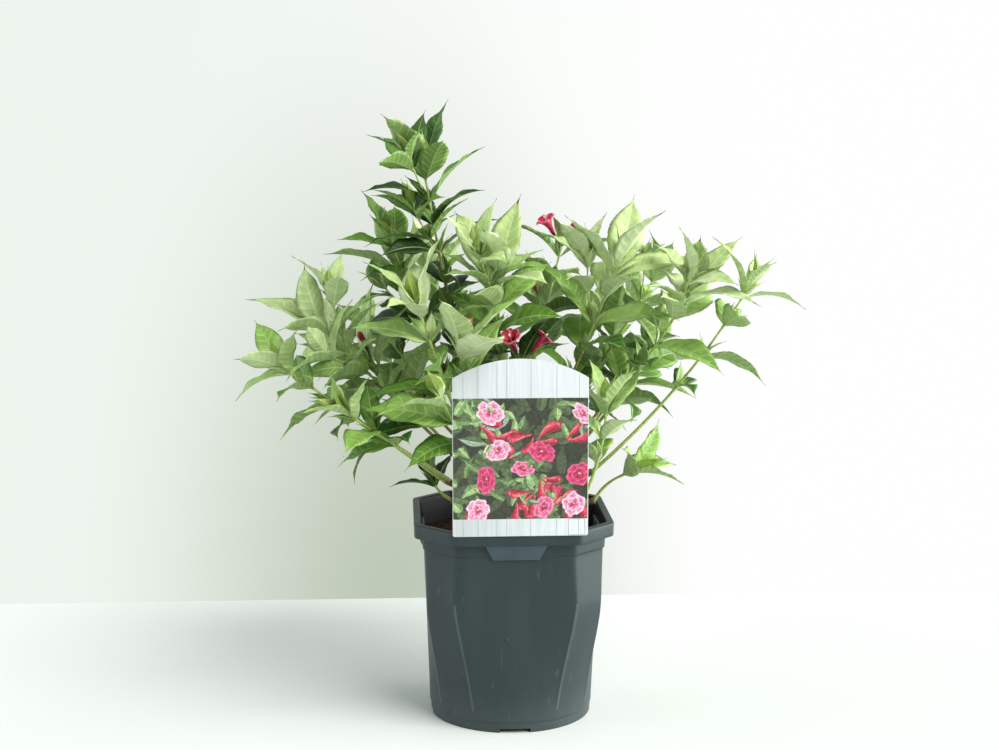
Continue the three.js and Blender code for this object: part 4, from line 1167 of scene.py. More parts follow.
def grow_pairs(line, spec, seed, owner):
    """The pairs of leaves on a stem, from its end down to its bare foot."""
    leaves, nodes = [], []
    down, pair = SUNK, 0
    while down < line.length - spec["bare"]:
        age = min(1.0, down / OLD_AT)
        around = math.radians(spec["turn"] + 90 * (pair % 2) + seed.spread(UNEVEN["around"]))
        point, stem = line.at(line.length - down)
        nodes.append({"point": point, "along": stem, "around": around, "down": down})
        for side in range(2):
            share = spec["young"] if pair == 0 else 1 - 0.2 * max(0.0, age - 0.5)
            length = spec["leaf"] * share * (1 + seed.spread(UNEVEN["length"]))
            size = {"length": length, "width": length * (LEAF_WIDTH + seed.spread(UNEVEN["width"]))}
            arch = ARCH["young"] if pair == 0 else ARCH["next"] + ARCH["old"] * age
            size["arch"] = math.radians(arch + seed.spread(UNEVEN["arch"]))
            size["roll"] = math.radians(seed.spread(LEAF_ROLL))
            lean = LEAN["young"] if pair == 0 else LEAN["next"] + LEAN["old"] * age
            lean = math.radians(lean + seed.spread(UNEVEN["lean"]))
            turned_to = around + math.pi * side + math.radians(seed.spread(UNEVEN["side"]))
            leaf = grow_leaf(point, stem, turned_to, lean, size, owner)
            if leaf:
                leaves.append({**leaf, "age": age, "small": False})
        share = NEXT_STEP if pair == 0 else 0.85 + 0.08 * pair
        down += spec["step"] * share * (1 + seed.spread(UNEVEN["step"]))
        pair += 1
    return leaves, nodes


def grow_twig(node, side, spec, seed, owner):
    """A side twig in the axil of a leaf, with its own leaves; none where there is no room for it."""
    lean = math.radians(TWIG["lean"] + seed.spread(8))
    around = node["around"] + math.pi * side + math.radians(seed.spread(20))
    along = node["along"] * math.cos(lean) + sideways(node["along"], around) * math.sin(lean)
    reach = spec["leaf"] * (TWIG["reach"] + seed.spread(0.14))
    line = Line(node["point"], node["point"] + along * reach, 3, seed.spread(4))
    points = line.samples()
    if (not is_open(points) or space.taken(points, owner, 0, AIR["others"])
            or (len(points) > 3 and space.taken(points[3:], owner, 1.5 * AIR["own"], 0))):
        return None
    space.add(points, owner)
    twig = {"leaf": TWIG["leaf"] * spec["leaf"], "young": TWIG["young"],
            "turn": 90 * side + seed.spread(40), "step": TWIG["step"], "bare": TWIG["bare"]}
    leaves, nodes = grow_pairs(line, twig, seed, owner)
    return {"line": line, "leaves": leaves, "nodes": nodes, "spec": twig}


def shoot_foot(name, point, along):
    """Where on its bough's end a shoot starts: the shoots of one bough are spread evenly about it."""
    bough = SHOOTS[name]["bough"]
    siblings = [other for other, shoot in SHOOTS.items() if shoot["bough"] == bough]
    if len(siblings) == 1:
        return point.copy()
    first = unit(cross(along, AHEAD))
    second = cross(along, first)

    def angle_of(other):
        apart = np.array(SHOOTS[other]["end"], float) - point
        apart = unit(apart - along * (apart @ along))
        return math.atan2(apart @ second, apart @ first)

    order = sorted(angle_of(other) for other in siblings)
    share = 2 * math.pi / len(siblings)
    start = sum(angle - i * share for i, angle in enumerate(order)) / len(siblings)
    angle = start + order.index(angle_of(name)) * share
    return point + first * FOOT_APART * math.cos(angle) + second * FOOT_APART * math.sin(angle)


def place_blooms(shoot):
    """Where the flowers and buds at a shoot's end stand."""
    line, seed = shoot["line"], shoot["seed"]
    end, stem = line.at(line.length)
    count = shoot["open"] + shoot["buds"]
    blooms = []
    for i in range(count):
        is_flower = i < shoot["open"]
        around = math.pi + 2 * math.pi * (i + 0.5) / count
        lean = math.radians(FLOWER["lean"] if is_flower else BUD["lean"])
        level = np.array((math.cos(around), math.sin(around), 0))
        along = unit(stem * math.cos(lean) + level * math.sin(lean))
        length = FLOWER["length"] if is_flower else BUD["length"] + seed.spread(5)
        blooms.append({"root": end + stem * (-0.5 - i * 0.4), "along": along, "open": is_flower,
                       "length": length, "place": i})
    return blooms


def lay_boughs():
    """The boughs' lines: the lower a bough forks, the lower it leaves the stump."""
    forks = [fork[2] for fork in BOUGHS.values()]
    lines = {}
    for name, fork in BOUGHS.items():
        tip = np.array(fork, float)
        height = 7 + (STUMP["height"] - 11) * (tip[2] - min(forks)) / (max(forks) - min(forks))
        foot = unit(tip * (1, 1, 0)) * 0.6 * STUMP["waist"] + UP * (STUMP_FOOT + height)
        lines[name] = Line(foot, tip, 0, 0)
    return lines


def lay_shoots(boughs):
    """The shoots' lines, each with the seed that its leaves and twigs go on to use."""
    laid = {}
    for index, (name, spec) in enumerate(SHOOTS.items()):
        bough = boughs[spec["bough"]]
        point, along = bough.at(bough.length)
        seed = Seed((index + 1) * 7919)
        for _ in range(3):
            seed.next()
        end = np.array(spec["end"], float)
        line = Line(shoot_foot(name, point, along), end, spec["bow"], seed.spread(5))
        laid[name] = {**spec, "name": name, "seed": seed, "line": line}
    return laid


def bloom_samples(bloom):
    """Points down the middle of a flower or bud and round its widening end, one ring at a time."""
    far = SAMPLE
    while far <= bloom["length"]:
        middle = bloom["root"] + bloom["along"] * far
        wide = FLOWER["mouth"] * max(0.0, far - 0.45 * bloom["length"]) / bloom["length"]
        ring = [middle + sideways(bloom["along"], quarter * QUARTER) * wide for quarter in range(4)]
        yield np.array([middle, *ring])
        far += SAMPLE


def grow_plant():
    """Every line, leaf and bloom, in the order in which they take their room."""
    boughs = lay_boughs()
    shoots = lay_shoots(boughs)
    for name, line in boughs.items():
        space.add(line.samples(), f"bough_{name}")
    for name, shoot in shoots.items():
        space.add(shoot["line"].samples(), name)
    for name, shoot in shoots.items():
        shoot["blooms"] = place_blooms(shoot)
        for bloom in shoot["blooms"]:
            for ring in bloom_samples(bloom):
                space.add(ring, name)
    for name, shoot in shoots.items():
        shoot["leaves"], shoot["nodes"] = grow_pairs(shoot["line"], shoot, shoot["seed"], name)
    for name, shoot in shoots.items():
        places = range(TWIG["first"], min(TWIG["first"] + shoot["twigs"], len(shoot["nodes"])))
        grown = [(i, grow_twig(shoot["nodes"][i], i % 2, shoot, shoot["seed"], name)) for i in places]
        shoot["side_twigs"] = [{**twig, "node": i} for i, twig in grown if twig]
    return boughs, shoots


boughs, shoots = grow_plant()

# ---------------------------------------------------------------------------- stump and boughs
# The woody foot of the shrub: a flared stump with lobes where roots leave it, and fifteen boughs
# that press together on it. Their bark is thin and brown-grey, with fine fissures along the grain
# and pale breathing pores; each bough ends in a knuckle where its shoots start.
BOUGH = {"foot": 2.7, "end": 2.6, "knuckle": 0.75, "knuckle_length": 3.2, "sides": 20, "step": 1.3}
SCAR = {"height": 0.3, "length": 1.1, "first": (14, 24), "apart": 21.0}
FISSURES = {"waves": (3, 5, 8), "slow": (60.0, 34.0, 18.0), "deep": (0.035, 0.03, 0.022)}
PORE = {"height": 0.05, "rare": 0.985}


def frames(centres):
    """At each centre, the stem's direction and two more directions square to it, without twist."""
    along = np.gradient(centres, axis=0)
    along /= np.linalg.norm(along, axis=1, keepdims=True)
    first = sideways(along[0], 0.0)
    firsts = []
    for direction in along:
        first = unit(first - direction * (first @ direction))
        firsts.append(first)
    firsts = np.array(firsts)
    return along, firsts, np.cross(along, firsts)


def tube(centres, radii, sides, relief=None):
    """A closed tube with bluntly pointed ends; the relief is the share added to each radius."""
    along, first, second = frames(centres)
    turns = np.linspace(0, 2 * math.pi, sides, endpoint=False)
    rings = np.repeat(np.asarray(radii, float)[:, None], sides, 1)
    if relief is not None:
        rings = rings * (1 + relief)
    points = (centres[:, None] + first[:, None] * (rings * np.cos(turns))[..., None]
              + second[:, None] * (rings * np.sin(turns))[..., None])
    count = len(centres)
    ends = np.array([centres[0] - along[0] * 0.5 * radii[0], centres[-1] + along[-1] * 0.6 * radii[-1]])
    faces = [(r * sides + i, r * sides + (i + 1) % sides, (r + 1) * sides + (i + 1) % sides,
              (r + 1) * sides + i) for r in range(count - 1) for i in range(sides)]
    low, high = count * sides, count * sides + 1
    last = (count - 1) * sides
    faces += [((i + 1) % sides, i, low) for i in range(sides)]
    faces += [(last + i, last + (i + 1) % sides, high) for i in range(sides)]
    return np.concatenate((points.reshape(-1, 3), ends)), faces


def stem_centres(line, step):
    count = max(3, math.ceil(line.length / step) + 1)
    return np.array([line.at(far)[0] for far in np.linspace(0.0, line.length, count)])


def bark_relief(dice, rings, sides):
    """Fissures along the grain: ridges that wander slowly round the limb, broken by pores."""
    turns = np.linspace(0, 2 * math.pi, sides, endpoint=False)[None]
    far = np.arange(rings)[:, None] * BOUGH["step"]
    relief = np.zeros((rings, sides))
    for waves, slow, deep in zip(*FISSURES.values()):
        phase = dice.uniform(0, 2 * math.pi, 2)
        drift = 1.3 * np.sin(far / slow * 2 * math.pi + phase[1])
        relief += deep * np.abs(np.sin((waves * turns + phase[0] + drift) / 2)) - deep / 2
    pores = dice.uniform(size=(rings, sides)) > PORE["rare"]
    return relief + PORE["height"] * pores + dice.uniform(-0.012, 0.012, (rings, sides))


def bark():
    """Brown-grey bark: long darker fissures, a reddish flush, and pale pores."""
    skin = material("shrub_bark", Roughness=0.8, Specular_IOR_Level=0.3)
    fissure = skin.noise(skin.stretched(900.0, 900.0, 120.0), 1.0, 4.0, 0.6)
    flush = skin.noise(skin.place, 70.0, 2.0)
    pore = skin.noise(skin.place, 800.0, 1.0).between(0.68, 0.76)
    brown = skin.mix(fissure.between(0.32, 0.68), linear(66, 48, 32), linear(142, 120, 88))
    red = skin.mix(flush.between(0.45, 0.7) * 0.5, brown, linear(110, 66, 48))
    skin.paint(skin.mix(pore * 0.7, red, linear(176, 158, 128)))
    skin.bump(fissure, 0.0004, 0.8)
    return skin


def stump_form(dice):
    """The stump's whole form, standing on the soil, with lobes at its foot and a ribbed side."""
    flare, waist, height = STUMP["flare"], STUMP["waist"], STUMP["height"]
    outline = rounded([(0, 0), (flare, 0), (flare, 1.5), (waist + 1.5, 7), (waist, 15),
                       (waist - 1, height - 5), (0.6 * waist, height), (0, height + 1)], 2.0)
    turned_by = dice.uniform(0, 2 * math.pi, 3)

    def reach(half, angle, z):
        root = smooth_step((9 - z) / 9) * smooth_step(half / 6)
        lobe = 0.11 * root * (np.cos(5 * angle + turned_by[0]) - 0.4)
        rib = 0.03 * np.abs(np.sin(9 * angle + 0.25 * z + turned_by[1]))
        grain = rib + 0.02 * np.sin(23 * angle + 0.4 * z)
        return half * (1 + lobe + grain - 0.03)

    turns = np.linspace(0, 2 * math.pi, 72, endpoint=False)
    points, faces = lathe(close_steps(outline, 1.2), turns, reach)
    return np.array(points) + (0, 0, STUMP_FOOT), faces


def bough_form(line, dice):
    """A bough with its bark's relief, rings of old bud scars and the knuckle at its end."""
    centres = stem_centres(line, BOUGH["step"])
    t = np.linspace(0, 1, len(centres))
    knuckle = BOUGH["knuckle"] * np.exp(-((1 - t) * line.length / BOUGH["knuckle_length"]) ** 2)
    radii = BOUGH["foot"] + (BOUGH["end"] - BOUGH["foot"]) * t + knuckle
    scars = sum(SCAR["height"] * np.exp(-((t * line.length - far) / SCAR["length"]) ** 2)
                for far in np.arange(dice.uniform(*SCAR["first"]), line.length, SCAR["apart"]))
    sides = BOUGH["sides"]
    return tube(centres, radii + scars, sides, bark_relief(dice, len(centres), sides))


def make_wood():
    dice = np.random.RandomState(77)
    forms = [stump_form(dice), *(bough_form(line, dice) for line in boughs.values())]
    wood = add_piece("woody_stems", *joined(forms), [bark()])
    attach(wood, "root")
    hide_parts("stump", *(f"bough_{name}" for name in boughs))


make_wood()

# ---------------------------------------------------------------------------- green stems
# The shoots of this year and their side twigs: yellow-green and smooth near the end, olive lower
# down, and red-brown where the skin has turned to bark. They swell a little at every pair of leaves.
# A few shoots stay green further down than the rest, by the share given for them.
SHOOT = {"foot": STEM_FOOT, "tip": 0.8, "sides": 12, "step": 2.2, "node": 0.5, "node_length": 2.0}
SIDE_TWIG = {"foot": 1.0, "tip": 0.6, "sides": 8}
STAYS_GREEN = {"right_out": 0.3, "left_out": 0.4, "left_mid": 0.45, "rim_right": 0.25, "right_front": 0.45,
               "right_up": 0.6, "right_inner": 0.7, "collar": 0.5, "shoulder": 0.5}
STEM_TONES = ((0, (168, 190, 104)), (40, (158, 172, 96)), (75, (150, 150, 88)), (115, (134, 112, 74)),
              (155, (108, 70, 52)))


def stem_skin(name, colour):
    """Young bark: silky, with fine lines along the stem."""
    skin = material(name, Roughness=0.5, Specular_IOR_Level=0.4)
    line = skin.noise(skin.stretched(1100.0, 1100.0, 160.0), 1.0, 3.0)
    skin.mottle(line.between(0.3, 0.7), colour, 0.82, 1.1)
    skin.bump(line, 0.0001, 0.5)
    return skin


def stem_form(line, foot, tip, sides, nodes):
    """A stem's tube, with a swelling at each node, and how far each of its faces is from its end."""
    centres = stem_centres(line, SHOOT["step"])
    far = np.linspace(0.0, line.length, len(centres))
    radii = foot + (tip - foot) * far / line.length
    for node in nodes:
        swelling = np.exp(-((line.length - far - node["down"]) / SHOOT["node_length"]) ** 2)
        radii = radii * (1 + SHOOT["node"] * swelling)
    points, faces = tube(centres, radii, sides)
    down = line.length - np.repeat((far[1:] + far[:-1]) / 2, sides)
    down = np.concatenate((down, np.full(sides, line.length), np.zeros(sides)))
    return points, faces, down


def stem_tone(down):
    starts = np.array([start for start, _ in STEM_TONES])
    return np.searchsorted(starts, down, side="right") - 1


PIECES = {
    "left": ("left_top", "inner", "left_out", "left_mid", "rim", "shoulder", "collar", "left_inner"),
    "middle": ("top", "middle", "top_left", "collar_top", "flowering", "flowering_low"),
    "right": ("right_top", "right_up", "right_out", "right_front", "right_behind", "right_inner",
              "rim_right"),
    "back": ("back_far_left", "back_left", "back_low", "back_tall", "back_right", "back_far_right",
             "back_inner"),
}


def stems_of(shoot):
    """The forms of a shoot and its twigs, each with the numbers of its faces' tones."""
    stems = [(shoot["line"], SHOOT, shoot["nodes"], 0)]
    stems += [(twig["line"], SIDE_TWIG, twig["nodes"], shoot["nodes"][twig["node"]]["down"] * 0.6)
              for twig in shoot["side_twigs"]]
    for line, size, nodes, older in stems:
        points, faces, down = stem_form(line, size["foot"], size["tip"], size["sides"], nodes)
        aged = down * (0.8 + 0.6 * shoot["tone"]) + older
        yield points, faces, stem_tone(aged * STAYS_GREEN.get(shoot["name"], 1.0))


def make_green_stems():
    skins = [stem_skin(f"stem_skin_{i + 1}", colour) for i, (_, colour) in enumerate(STEM_TONES)]
    for place, names in PIECES.items():
        forms = [form for name in names for form in stems_of(shoots[name])]
        tones = np.concatenate([tones for _, _, tones in forms])
        stems = add_piece(f"green_stems_{place}", *joined(form[:2] for form in forms), skins, tones)
        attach(stems, "root")
        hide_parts(*(f"foliage_{name}" for name in names))


make_green_stems()

# ---------------------------------------------------------------------------- leaves
# Leaves of a soft, matt green, paler and yellower in the youngest pairs and deep green low down;
# the underside is pale, the midrib paler still. The side veins are sunk, the blade between them
# stands up a little, and the edge is cut into fine teeth.
LEAF = {"rows": 36, "small_rows": 14, "veins": 9, "vein_slant": 0.13, "thickness": 0.42,
        "quilt": 0.55, "tooth": 0.035, "rib": 0.42, "channel": 0.25, "stalk": 0.62, "stalk_height": 0.42}
DRIP = {"reach": 1.2, "shoulder": (0.3, 0.12), "end": (0.12, 0.07)}
ACROSS = np.array((-1.0, -0.7, -0.38, -0.08, 0.08, 0.38, 0.7, 1.0))
ON_EDGE, ON_RIB = np.abs(ACROSS) > 0.99, np.abs(ACROSS) < 0.1
# Greens from the palest to the deepest; the palest are greyed, as painted sheen.
LEAF_TONES = ((209, 220, 182), (196, 212, 162), (178, 200, 133), (154, 186, 104), (124, 161, 72),
              (88, 128, 42), (54, 92, 22), (26, 52, 10))
UNDERSIDE_TONES = ((204, 215, 178), (192, 207, 162), (177, 196, 142), (158, 181, 118), (136, 163, 96),
                   (110, 142, 70), (86, 116, 52))
RIB_TONES = ((206, 220, 158), (152, 176, 110))
TIP_TONE = (108, 78, 66)
FURLED_TONE = (148, 168, 84)
UNDER = len(LEAF_TONES)
RIB = UNDER + len(UNDERSIDE_TONES)
TIP = RIB + len(RIB_TONES)
FURLED = TIP + 1
# The crown, inside which the leaves are painted darker as painted shade.
CROWN = {"middle": (0.0, 20.0, 270.0), "squeezed": (0.8, 0.9, 1.0), "reach": 170.0, "shade": 0.4}
SMALL_LEAF_AIR = 1.6


def leaf_skin(name, colour, roughness, spread):
    """Leaf skin: a fine-grained, softly glossy surface that lets some light through."""
    skin = material(name, Roughness=roughness, Specular_IOR_Level=0.45, Subsurface_Weight=0.12,
                    Subsurface_Radius=(0.0016, 0.0024, 0.0008), Subsurface_Scale=0.6)
    cloud = skin.noise(skin.place, 85.0, 3.0)
    skin.mottle(cloud.between(0.3, 0.7), colour, 1 - spread, 1 + spread)
    skin.bump(skin.noise(skin.place, 1500.0, 2.0), 0.00012, 0.5)
    return skin


def leaf_steps(rows):
    """How far along a blade its rows are: each side vein has a narrow row of its own."""
    if rows < 4 * LEAF["veins"]:
        return np.linspace(0.0, 1.0, rows + 1)
    steps = (np.arange(LEAF["veins"])[:, None] + np.array((0.0, 0.16, 0.5, 0.8))) / LEAF["veins"]
    return np.append(steps.ravel(), 1.0)


def leaf_faces(rows):
    """The faces of every leaf of so many rows, and for each its kind and how far along it lies."""
    vein_rows = 2 + 4 * np.arange(1, LEAF["veins"] - 1) if rows >= 4 * LEAF["veins"] else ()
    rows, columns = rows + 4, len(ACROSS)
    top = np.arange(rows * columns).reshape(rows, columns)
    under = top.copy()
    under[:, 1:-1] = rows * columns + np.arange(rows * (columns - 2)).reshape(rows, columns - 2)
    faces, kinds, far = [], [], []
    middle = columns // 2 - 1
    for row in range(rows - 1):
        for column in range(columns - 1):
            faces.append((top[row, column], top[row + 1, column], top[row + 1, column + 1],
                          top[row, column + 1]))
            kinds.append("rib" if column == middle else "vein" if row in vein_rows else "top")
            faces.append((under[row, column], under[row, column + 1], under[row + 1, column + 1],
                          under[row + 1, column]))
            kinds.append("rib" if column == middle else "under_vein" if row in vein_rows else "under")
            far += [row / rows, row / rows]
    for row, order in ((0, 1), (rows - 1, -1)):
        for column in range(columns - 1):
            ring = [top[row, column], top[row, column + 1], under[row, column + 1], under[row, column]]
            ring = ring[::order]
            ring = [v for i, v in enumerate(ring) if v != ring[i - 1]]
            faces.append(tuple(ring))
            kinds.append("rib")
            far.append(row / rows)
    return faces, np.array(kinds), np.array(far)


def blade_grid(leaf, rows):
    """The crossings of a blade's rows and columns: how far along and across each is, and the
    blade's half-width there. Rows slant forwards like the veins, and every other one ends in a
    tooth."""
    s = leaf_steps(rows)
    slant = LEAF["vein_slant"] * np.sin(np.pi * s ** 0.8) ** 0.8
    v = ACROSS * np.ones((rows + 1, 1))
    u = np.clip(s[:, None] + slant[:, None] * (np.abs(v) ** 1.25 - 0.45), 0.0, 1.0)
    u[0], u[-1] = 0.0, 1.0
    half = np.maximum(PETIOLE_HALF_WIDTH * (1 - u), leaf["width"] / 2 * outline(u))
    tooth = LEAF["tooth"] * (np.arange(rows + 1) % 2)[:, None] * ON_EDGE
    rib = np.clip(LEAF["rib"] * (1.25 - u) / np.maximum(half, 0.3), 0.05, 0.32)
    return s, u, np.where(ON_RIB, np.sign(v) * rib, v) * (1 + tooth), half


def blade_lift(leaf, s, u, v, half, dice):
    """How far a blade's crossings stand off its fold: the swell between veins, the channel over
    the rib, the ripple of the edge and the droop or rise of the sides."""
    swell = np.sin(np.pi * ((s * LEAF["veins"]) % 1.0))[:, None]
    quilt = LEAF["quilt"] * swell * (np.abs(v) * (1.15 - np.abs(v)) * 3.4).clip(0)
    quilt = quilt * np.minimum(1.0, half / 6.0)
    channel = -LEAF["channel"] * ON_RIB * np.minimum(1.0, half / 4.0)
    phase, wave = dice.uniform(0, 2 * math.pi, 2), dice.uniform(0.3, 1.0)
    curl = dice.uniform(-0.10, 0.05)
    ripple = np.sin(2 * np.pi * 2.6 * u + phase[0] + np.where(v > 0, phase[1], 0))
    edge = wave * 0.022 * leaf["length"] * ripple * v ** 2
    return quilt + channel + edge * np.minimum(1.0, half / 5.0) + curl * half * v ** 2


def stalk_rings(leaf):
    """The middle of a leaf's stalk at two places, and how far its skin stands above that."""
    down = np.array((-1.15, -0.45))[:, None] * np.ones((1, len(ACROSS)))
    across = np.linspace(-1, 1, len(ACROSS))[None, :] * np.ones((2, 1))
    middle = (leaf["root"] + leaf["along"] * (PETIOLE * (1 + down))[..., None]
              + leaf["side"] * (across * LEAF["stalk"])[..., None])
    return middle, LEAF["stalk_height"] * np.sqrt(np.clip(1 - across ** 2, 0, 1))[..., None]


def leaf_form(leaf, rows, dice):
    """The points of a leaf's two sides: its stalk, its arched and twisted blade, its long tip."""
    s, u, v, half = blade_grid(leaf, rows)
    lift = blade_lift(leaf, s, u, v, half, dice)
    sickle, twist = dice.uniform(-0.05, 0.05), dice.uniform(-0.3, 0.3)
    turn = leaf["arch"] * u
    radius = leaf["length"] / leaf["arch"]
    c, sn = np.cos(turn)[..., None], np.sin(turn)[..., None]
    face = leaf["face"] * c + leaf["along"] * sn
    spin = (twist * u * u)[..., None]
    side = leaf["side"] * np.cos(spin) + face * np.sin(spin)
    above = face * np.cos(spin) - leaf["side"] * np.sin(spin)
    fold = np.abs(v) * half * math.sin(LEAF_FOLD) * (1.35 - 0.35 * np.abs(v))
    centre = (leaf["root"] + leaf["along"] * (PETIOLE + radius * sn) - leaf["face"] * (radius * (1 - c))
              + leaf["side"] * (sickle * leaf["length"] * u * u)[..., None])
    skin = centre + side * (v * half * math.cos(LEAF_FOLD))[..., None]
    inner = ~ON_EDGE * np.ones_like(u)
    thick = LEAF["thickness"] * (1 + 1.2 * ON_RIB * (1.1 - u)) * inner
    end, forward = centre[-1, 0], unit(centre[-1, 0] - centre[-2, 0])

    def tip_ring(reach, wide, high):
        middle = end + forward * reach + side[-1] * (ACROSS * wide)[:, None]
        off = above[-1] * (high * inner[-1])[:, None]
        return middle + off, middle - off

    shoulders, drips = tip_ring(0.0, *DRIP["shoulder"]), tip_ring(DRIP["reach"], *DRIP["end"])
    stalk, high = stalk_rings(leaf)
    surfaces = []
    for sign, depth, shoulder, drip in zip((1, -1), (0.0, thick), shoulders, drips):
        blade = skin + above * (fold + lift - depth)[..., None]
        blade[-1] = shoulder
        surfaces.append(np.concatenate((stalk + sign * leaf["face"] * high, blade, drip[None])))
    top, under = surfaces
    return np.concatenate((top.reshape(-1, 3), under[:, 1:-1].reshape(-1, 3)))


def finer_leaves(shoot, dice):
    """What the shoot bears between its pairs: furled leaves at each stem's end, and small leaves in
    the axils."""
    more = []
    stems = [(shoot["line"], shoot, shoot["nodes"])]
    stems += [(twig["line"], twig["spec"], twig["nodes"]) for twig in shoot["side_twigs"]]
    for line, spec, nodes in stems:
        end, stem = line.at(line.length)
        if shoot["open"] + shoot["buds"] < 2 or line is not shoot["line"]:
            for pair, (share, lean) in enumerate(((0.5, 9.0), (0.3, 5.0))):
                for side in range(2):
                    around = math.radians(spec["turn"] + 90 * (pair + 1) + dice.uniform(-12, 12))
                    more.append((end, stem, around + math.pi * side, lean + dice.uniform(-3, 5),
                                 share * spec["leaf"], 0.0))
        for node in nodes[1:]:
            for side in range(2):
                if dice.uniform() < 0.8:
                    around = node["around"] + math.pi * side + dice.uniform(-0.4, 0.4)
                    for split in (-0.5, 0.5):
                        more.append((node["point"], node["along"], around + split, dice.uniform(16, 34),
                                     spec["leaf"] * dice.uniform(0.18, 0.44), 0.15))
    leaves = []
    for point, stem, around, lean, length, age in more:
        size = {"length": length, "width": length * dice.uniform(0.3, 0.42),
                "arch": math.radians(dice.uniform(8, 34)), "roll": math.radians(dice.uniform(-30, 30))}
        leaf = make_leaf(point, stem, around, math.radians(lean), size)
        points, _ = blade_samples(leaf)
        if is_open(points) and not space.taken(points, shoot["name"], 0, SMALL_LEAF_AIR):
            space.add(points, shoot["name"])
            leaves.append({**leaf, "age": age, "small": True})
    return leaves


def crown_shade(leaf):
    """How much darker a leaf is painted for its place inside the crown: painted shade, out of the light."""
    from_middle = (leaf["root"] - np.array(CROWN["middle"])) * CROWN["squeezed"]
    return CROWN["shade"] * (1 - min(1.0, np.linalg.norm(from_middle) / CROWN["reach"]))


def leaf_tones(leaf, kinds, far, dark, dice):
    """The number of each face's finish: the deeper the leaf's green, the deeper its underside; the
    side veins are a tone paler, and young leaves end in a dark tip."""
    along = (dark + 0.14 * (far - 0.45)) * len(LEAF_TONES) - 0.6 * (kinds == "vein")
    green = np.clip(along.astype(int), 0, len(LEAF_TONES) - 1)
    pale = UNDER + int(np.clip(dark * len(UNDERSIDE_TONES), 0, len(UNDERSIDE_TONES) - 1))
    tone = np.where(kinds == "under", pale, green)
    tone = np.where(kinds == "under_vein", max(UNDER, pale - 1), tone)
    tone = np.where(kinds == "rib", RIB + int(dark > 0.45), tone)
    if leaf["small"] and leaf["age"] == 0.0:
        tone = np.where((kinds != "rib") & (far > 0.3), FURLED, tone)
    if leaf["age"] < 0.5:
        tone = np.where(far > 0.84 + 0.14 * leaf["age"] + dice.uniform(0, 0.05), TIP, tone)
    return tone


def leaf_skins():
    """The finishes in the order of their numbers: greens, undersides, ribs, tip and furled."""
    kinds = (("green", LEAF_TONES, 0.5, 0.07), ("underside", UNDERSIDE_TONES, 0.62, 0.05),
             ("rib", RIB_TONES, 0.5, 0.04))
    skins = [leaf_skin(f"leaf_{kind}_{i + 1}", tone, roughness, spread)
             for kind, tones, roughness, spread in kinds for i, tone in enumerate(tones)]
    return [*skins, leaf_skin("leaf_tip", TIP_TONE, 0.5, 0.06),
            leaf_skin("leaf_furled", FURLED_TONE, 0.5, 0.1)]


def make_leaves():
    templates = {small: leaf_faces(LEAF[rows]) for small, rows in ((False, "rows"), (True, "small_rows"))}
    skins = leaf_skins()
    for place, names in PIECES.items():
        forms, tones = [], []
        for name in names:
            shoot = shoots[name]
            dice = np.random.RandomState(sum(map(ord, name)))
            leaves = shoot["leaves"] + [leaf for twig in shoot["side_twigs"] for leaf in twig["leaves"]]
            for leaf in leaves + finer_leaves(shoot, dice):
                template, kinds, far = templates[leaf["small"]]
                rows = LEAF["small_rows"] if leaf["small"] else LEAF["rows"]
                forms.append((leaf_form(leaf, rows, dice), template))
                # The shoot's tone and the crown term darken a leaf partly as painted shade; its age darkens
                # it as its own colour.
                dark = shoot["tone"] + 0.34 * leaf["age"] + crown_shade(leaf) + dice.uniform(-0.1, 0.1)
                tones.append(leaf_tones(leaf, kinds, far, dark, dice))
        foliage = add_piece(f"leaves_{place}", *joined(forms), skins, np.concatenate(tones))
        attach(foliage, "root")
        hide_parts(*(f"foliage_{name}" for name in names))


make_leaves()

# ---------------------------------------------------------------------------- flowers
# The flowers stand at a few shoots' ends: narrow crimson clubs while closed, then funnels that open
# into five rounded lobes with a paler edge. Each has a thread of a stalk, a slim green ovary and a
# calyx of five narrow brown-green sepals, which stay on when the funnel has fallen.
BLOOM = {"stalk": 0.42, "calyx": 0.34, "petals": 5, "thin": 0.24, "bend": 0.07, "sides": 20}
BLOOM_COLOURS = {
    "petal_throat": (204, 92, 112), "petal_deep": (136, 10, 40), "petal_crimson": (176, 18, 54),
    "petal_pink": (206, 48, 92), "petal_margin": (224, 104, 138), "bud_dark": (92, 12, 32),
    "bud_crimson": (140, 18, 44), "bud_tip": (178, 44, 72), "sepal_green": (104, 102, 56),
    "sepal_brown": (84, 48, 38), "style_cream": (236, 222, 188)}


def petal_skin(name):
    """Petal or sepal: satin, with fine cloudy veining."""
    skin = material(name, Roughness=0.5, Specular_IOR_Level=0.3, Sheen_Weight=0.15,
                    Subsurface_Weight=0.15, Subsurface_Radius=(0.002, 0.001, 0.001), Subsurface_Scale=0.5)
    vein = skin.noise(skin.place, 520.0, 3.0)
    skin.mottle(vein.between(0.34, 0.66), BLOOM_COLOURS[name], 0.84, 1.12)
    skin.bump(vein, 0.00015, 0.5)
    return skin


def bloom_frame(bloom):
    """The bloom's direction, and two more square to it that turn with its place in the cluster."""
    first = sideways(bloom["along"], 2.1 * bloom["place"])
    return bloom["along"], first, cross(bloom["along"], first)


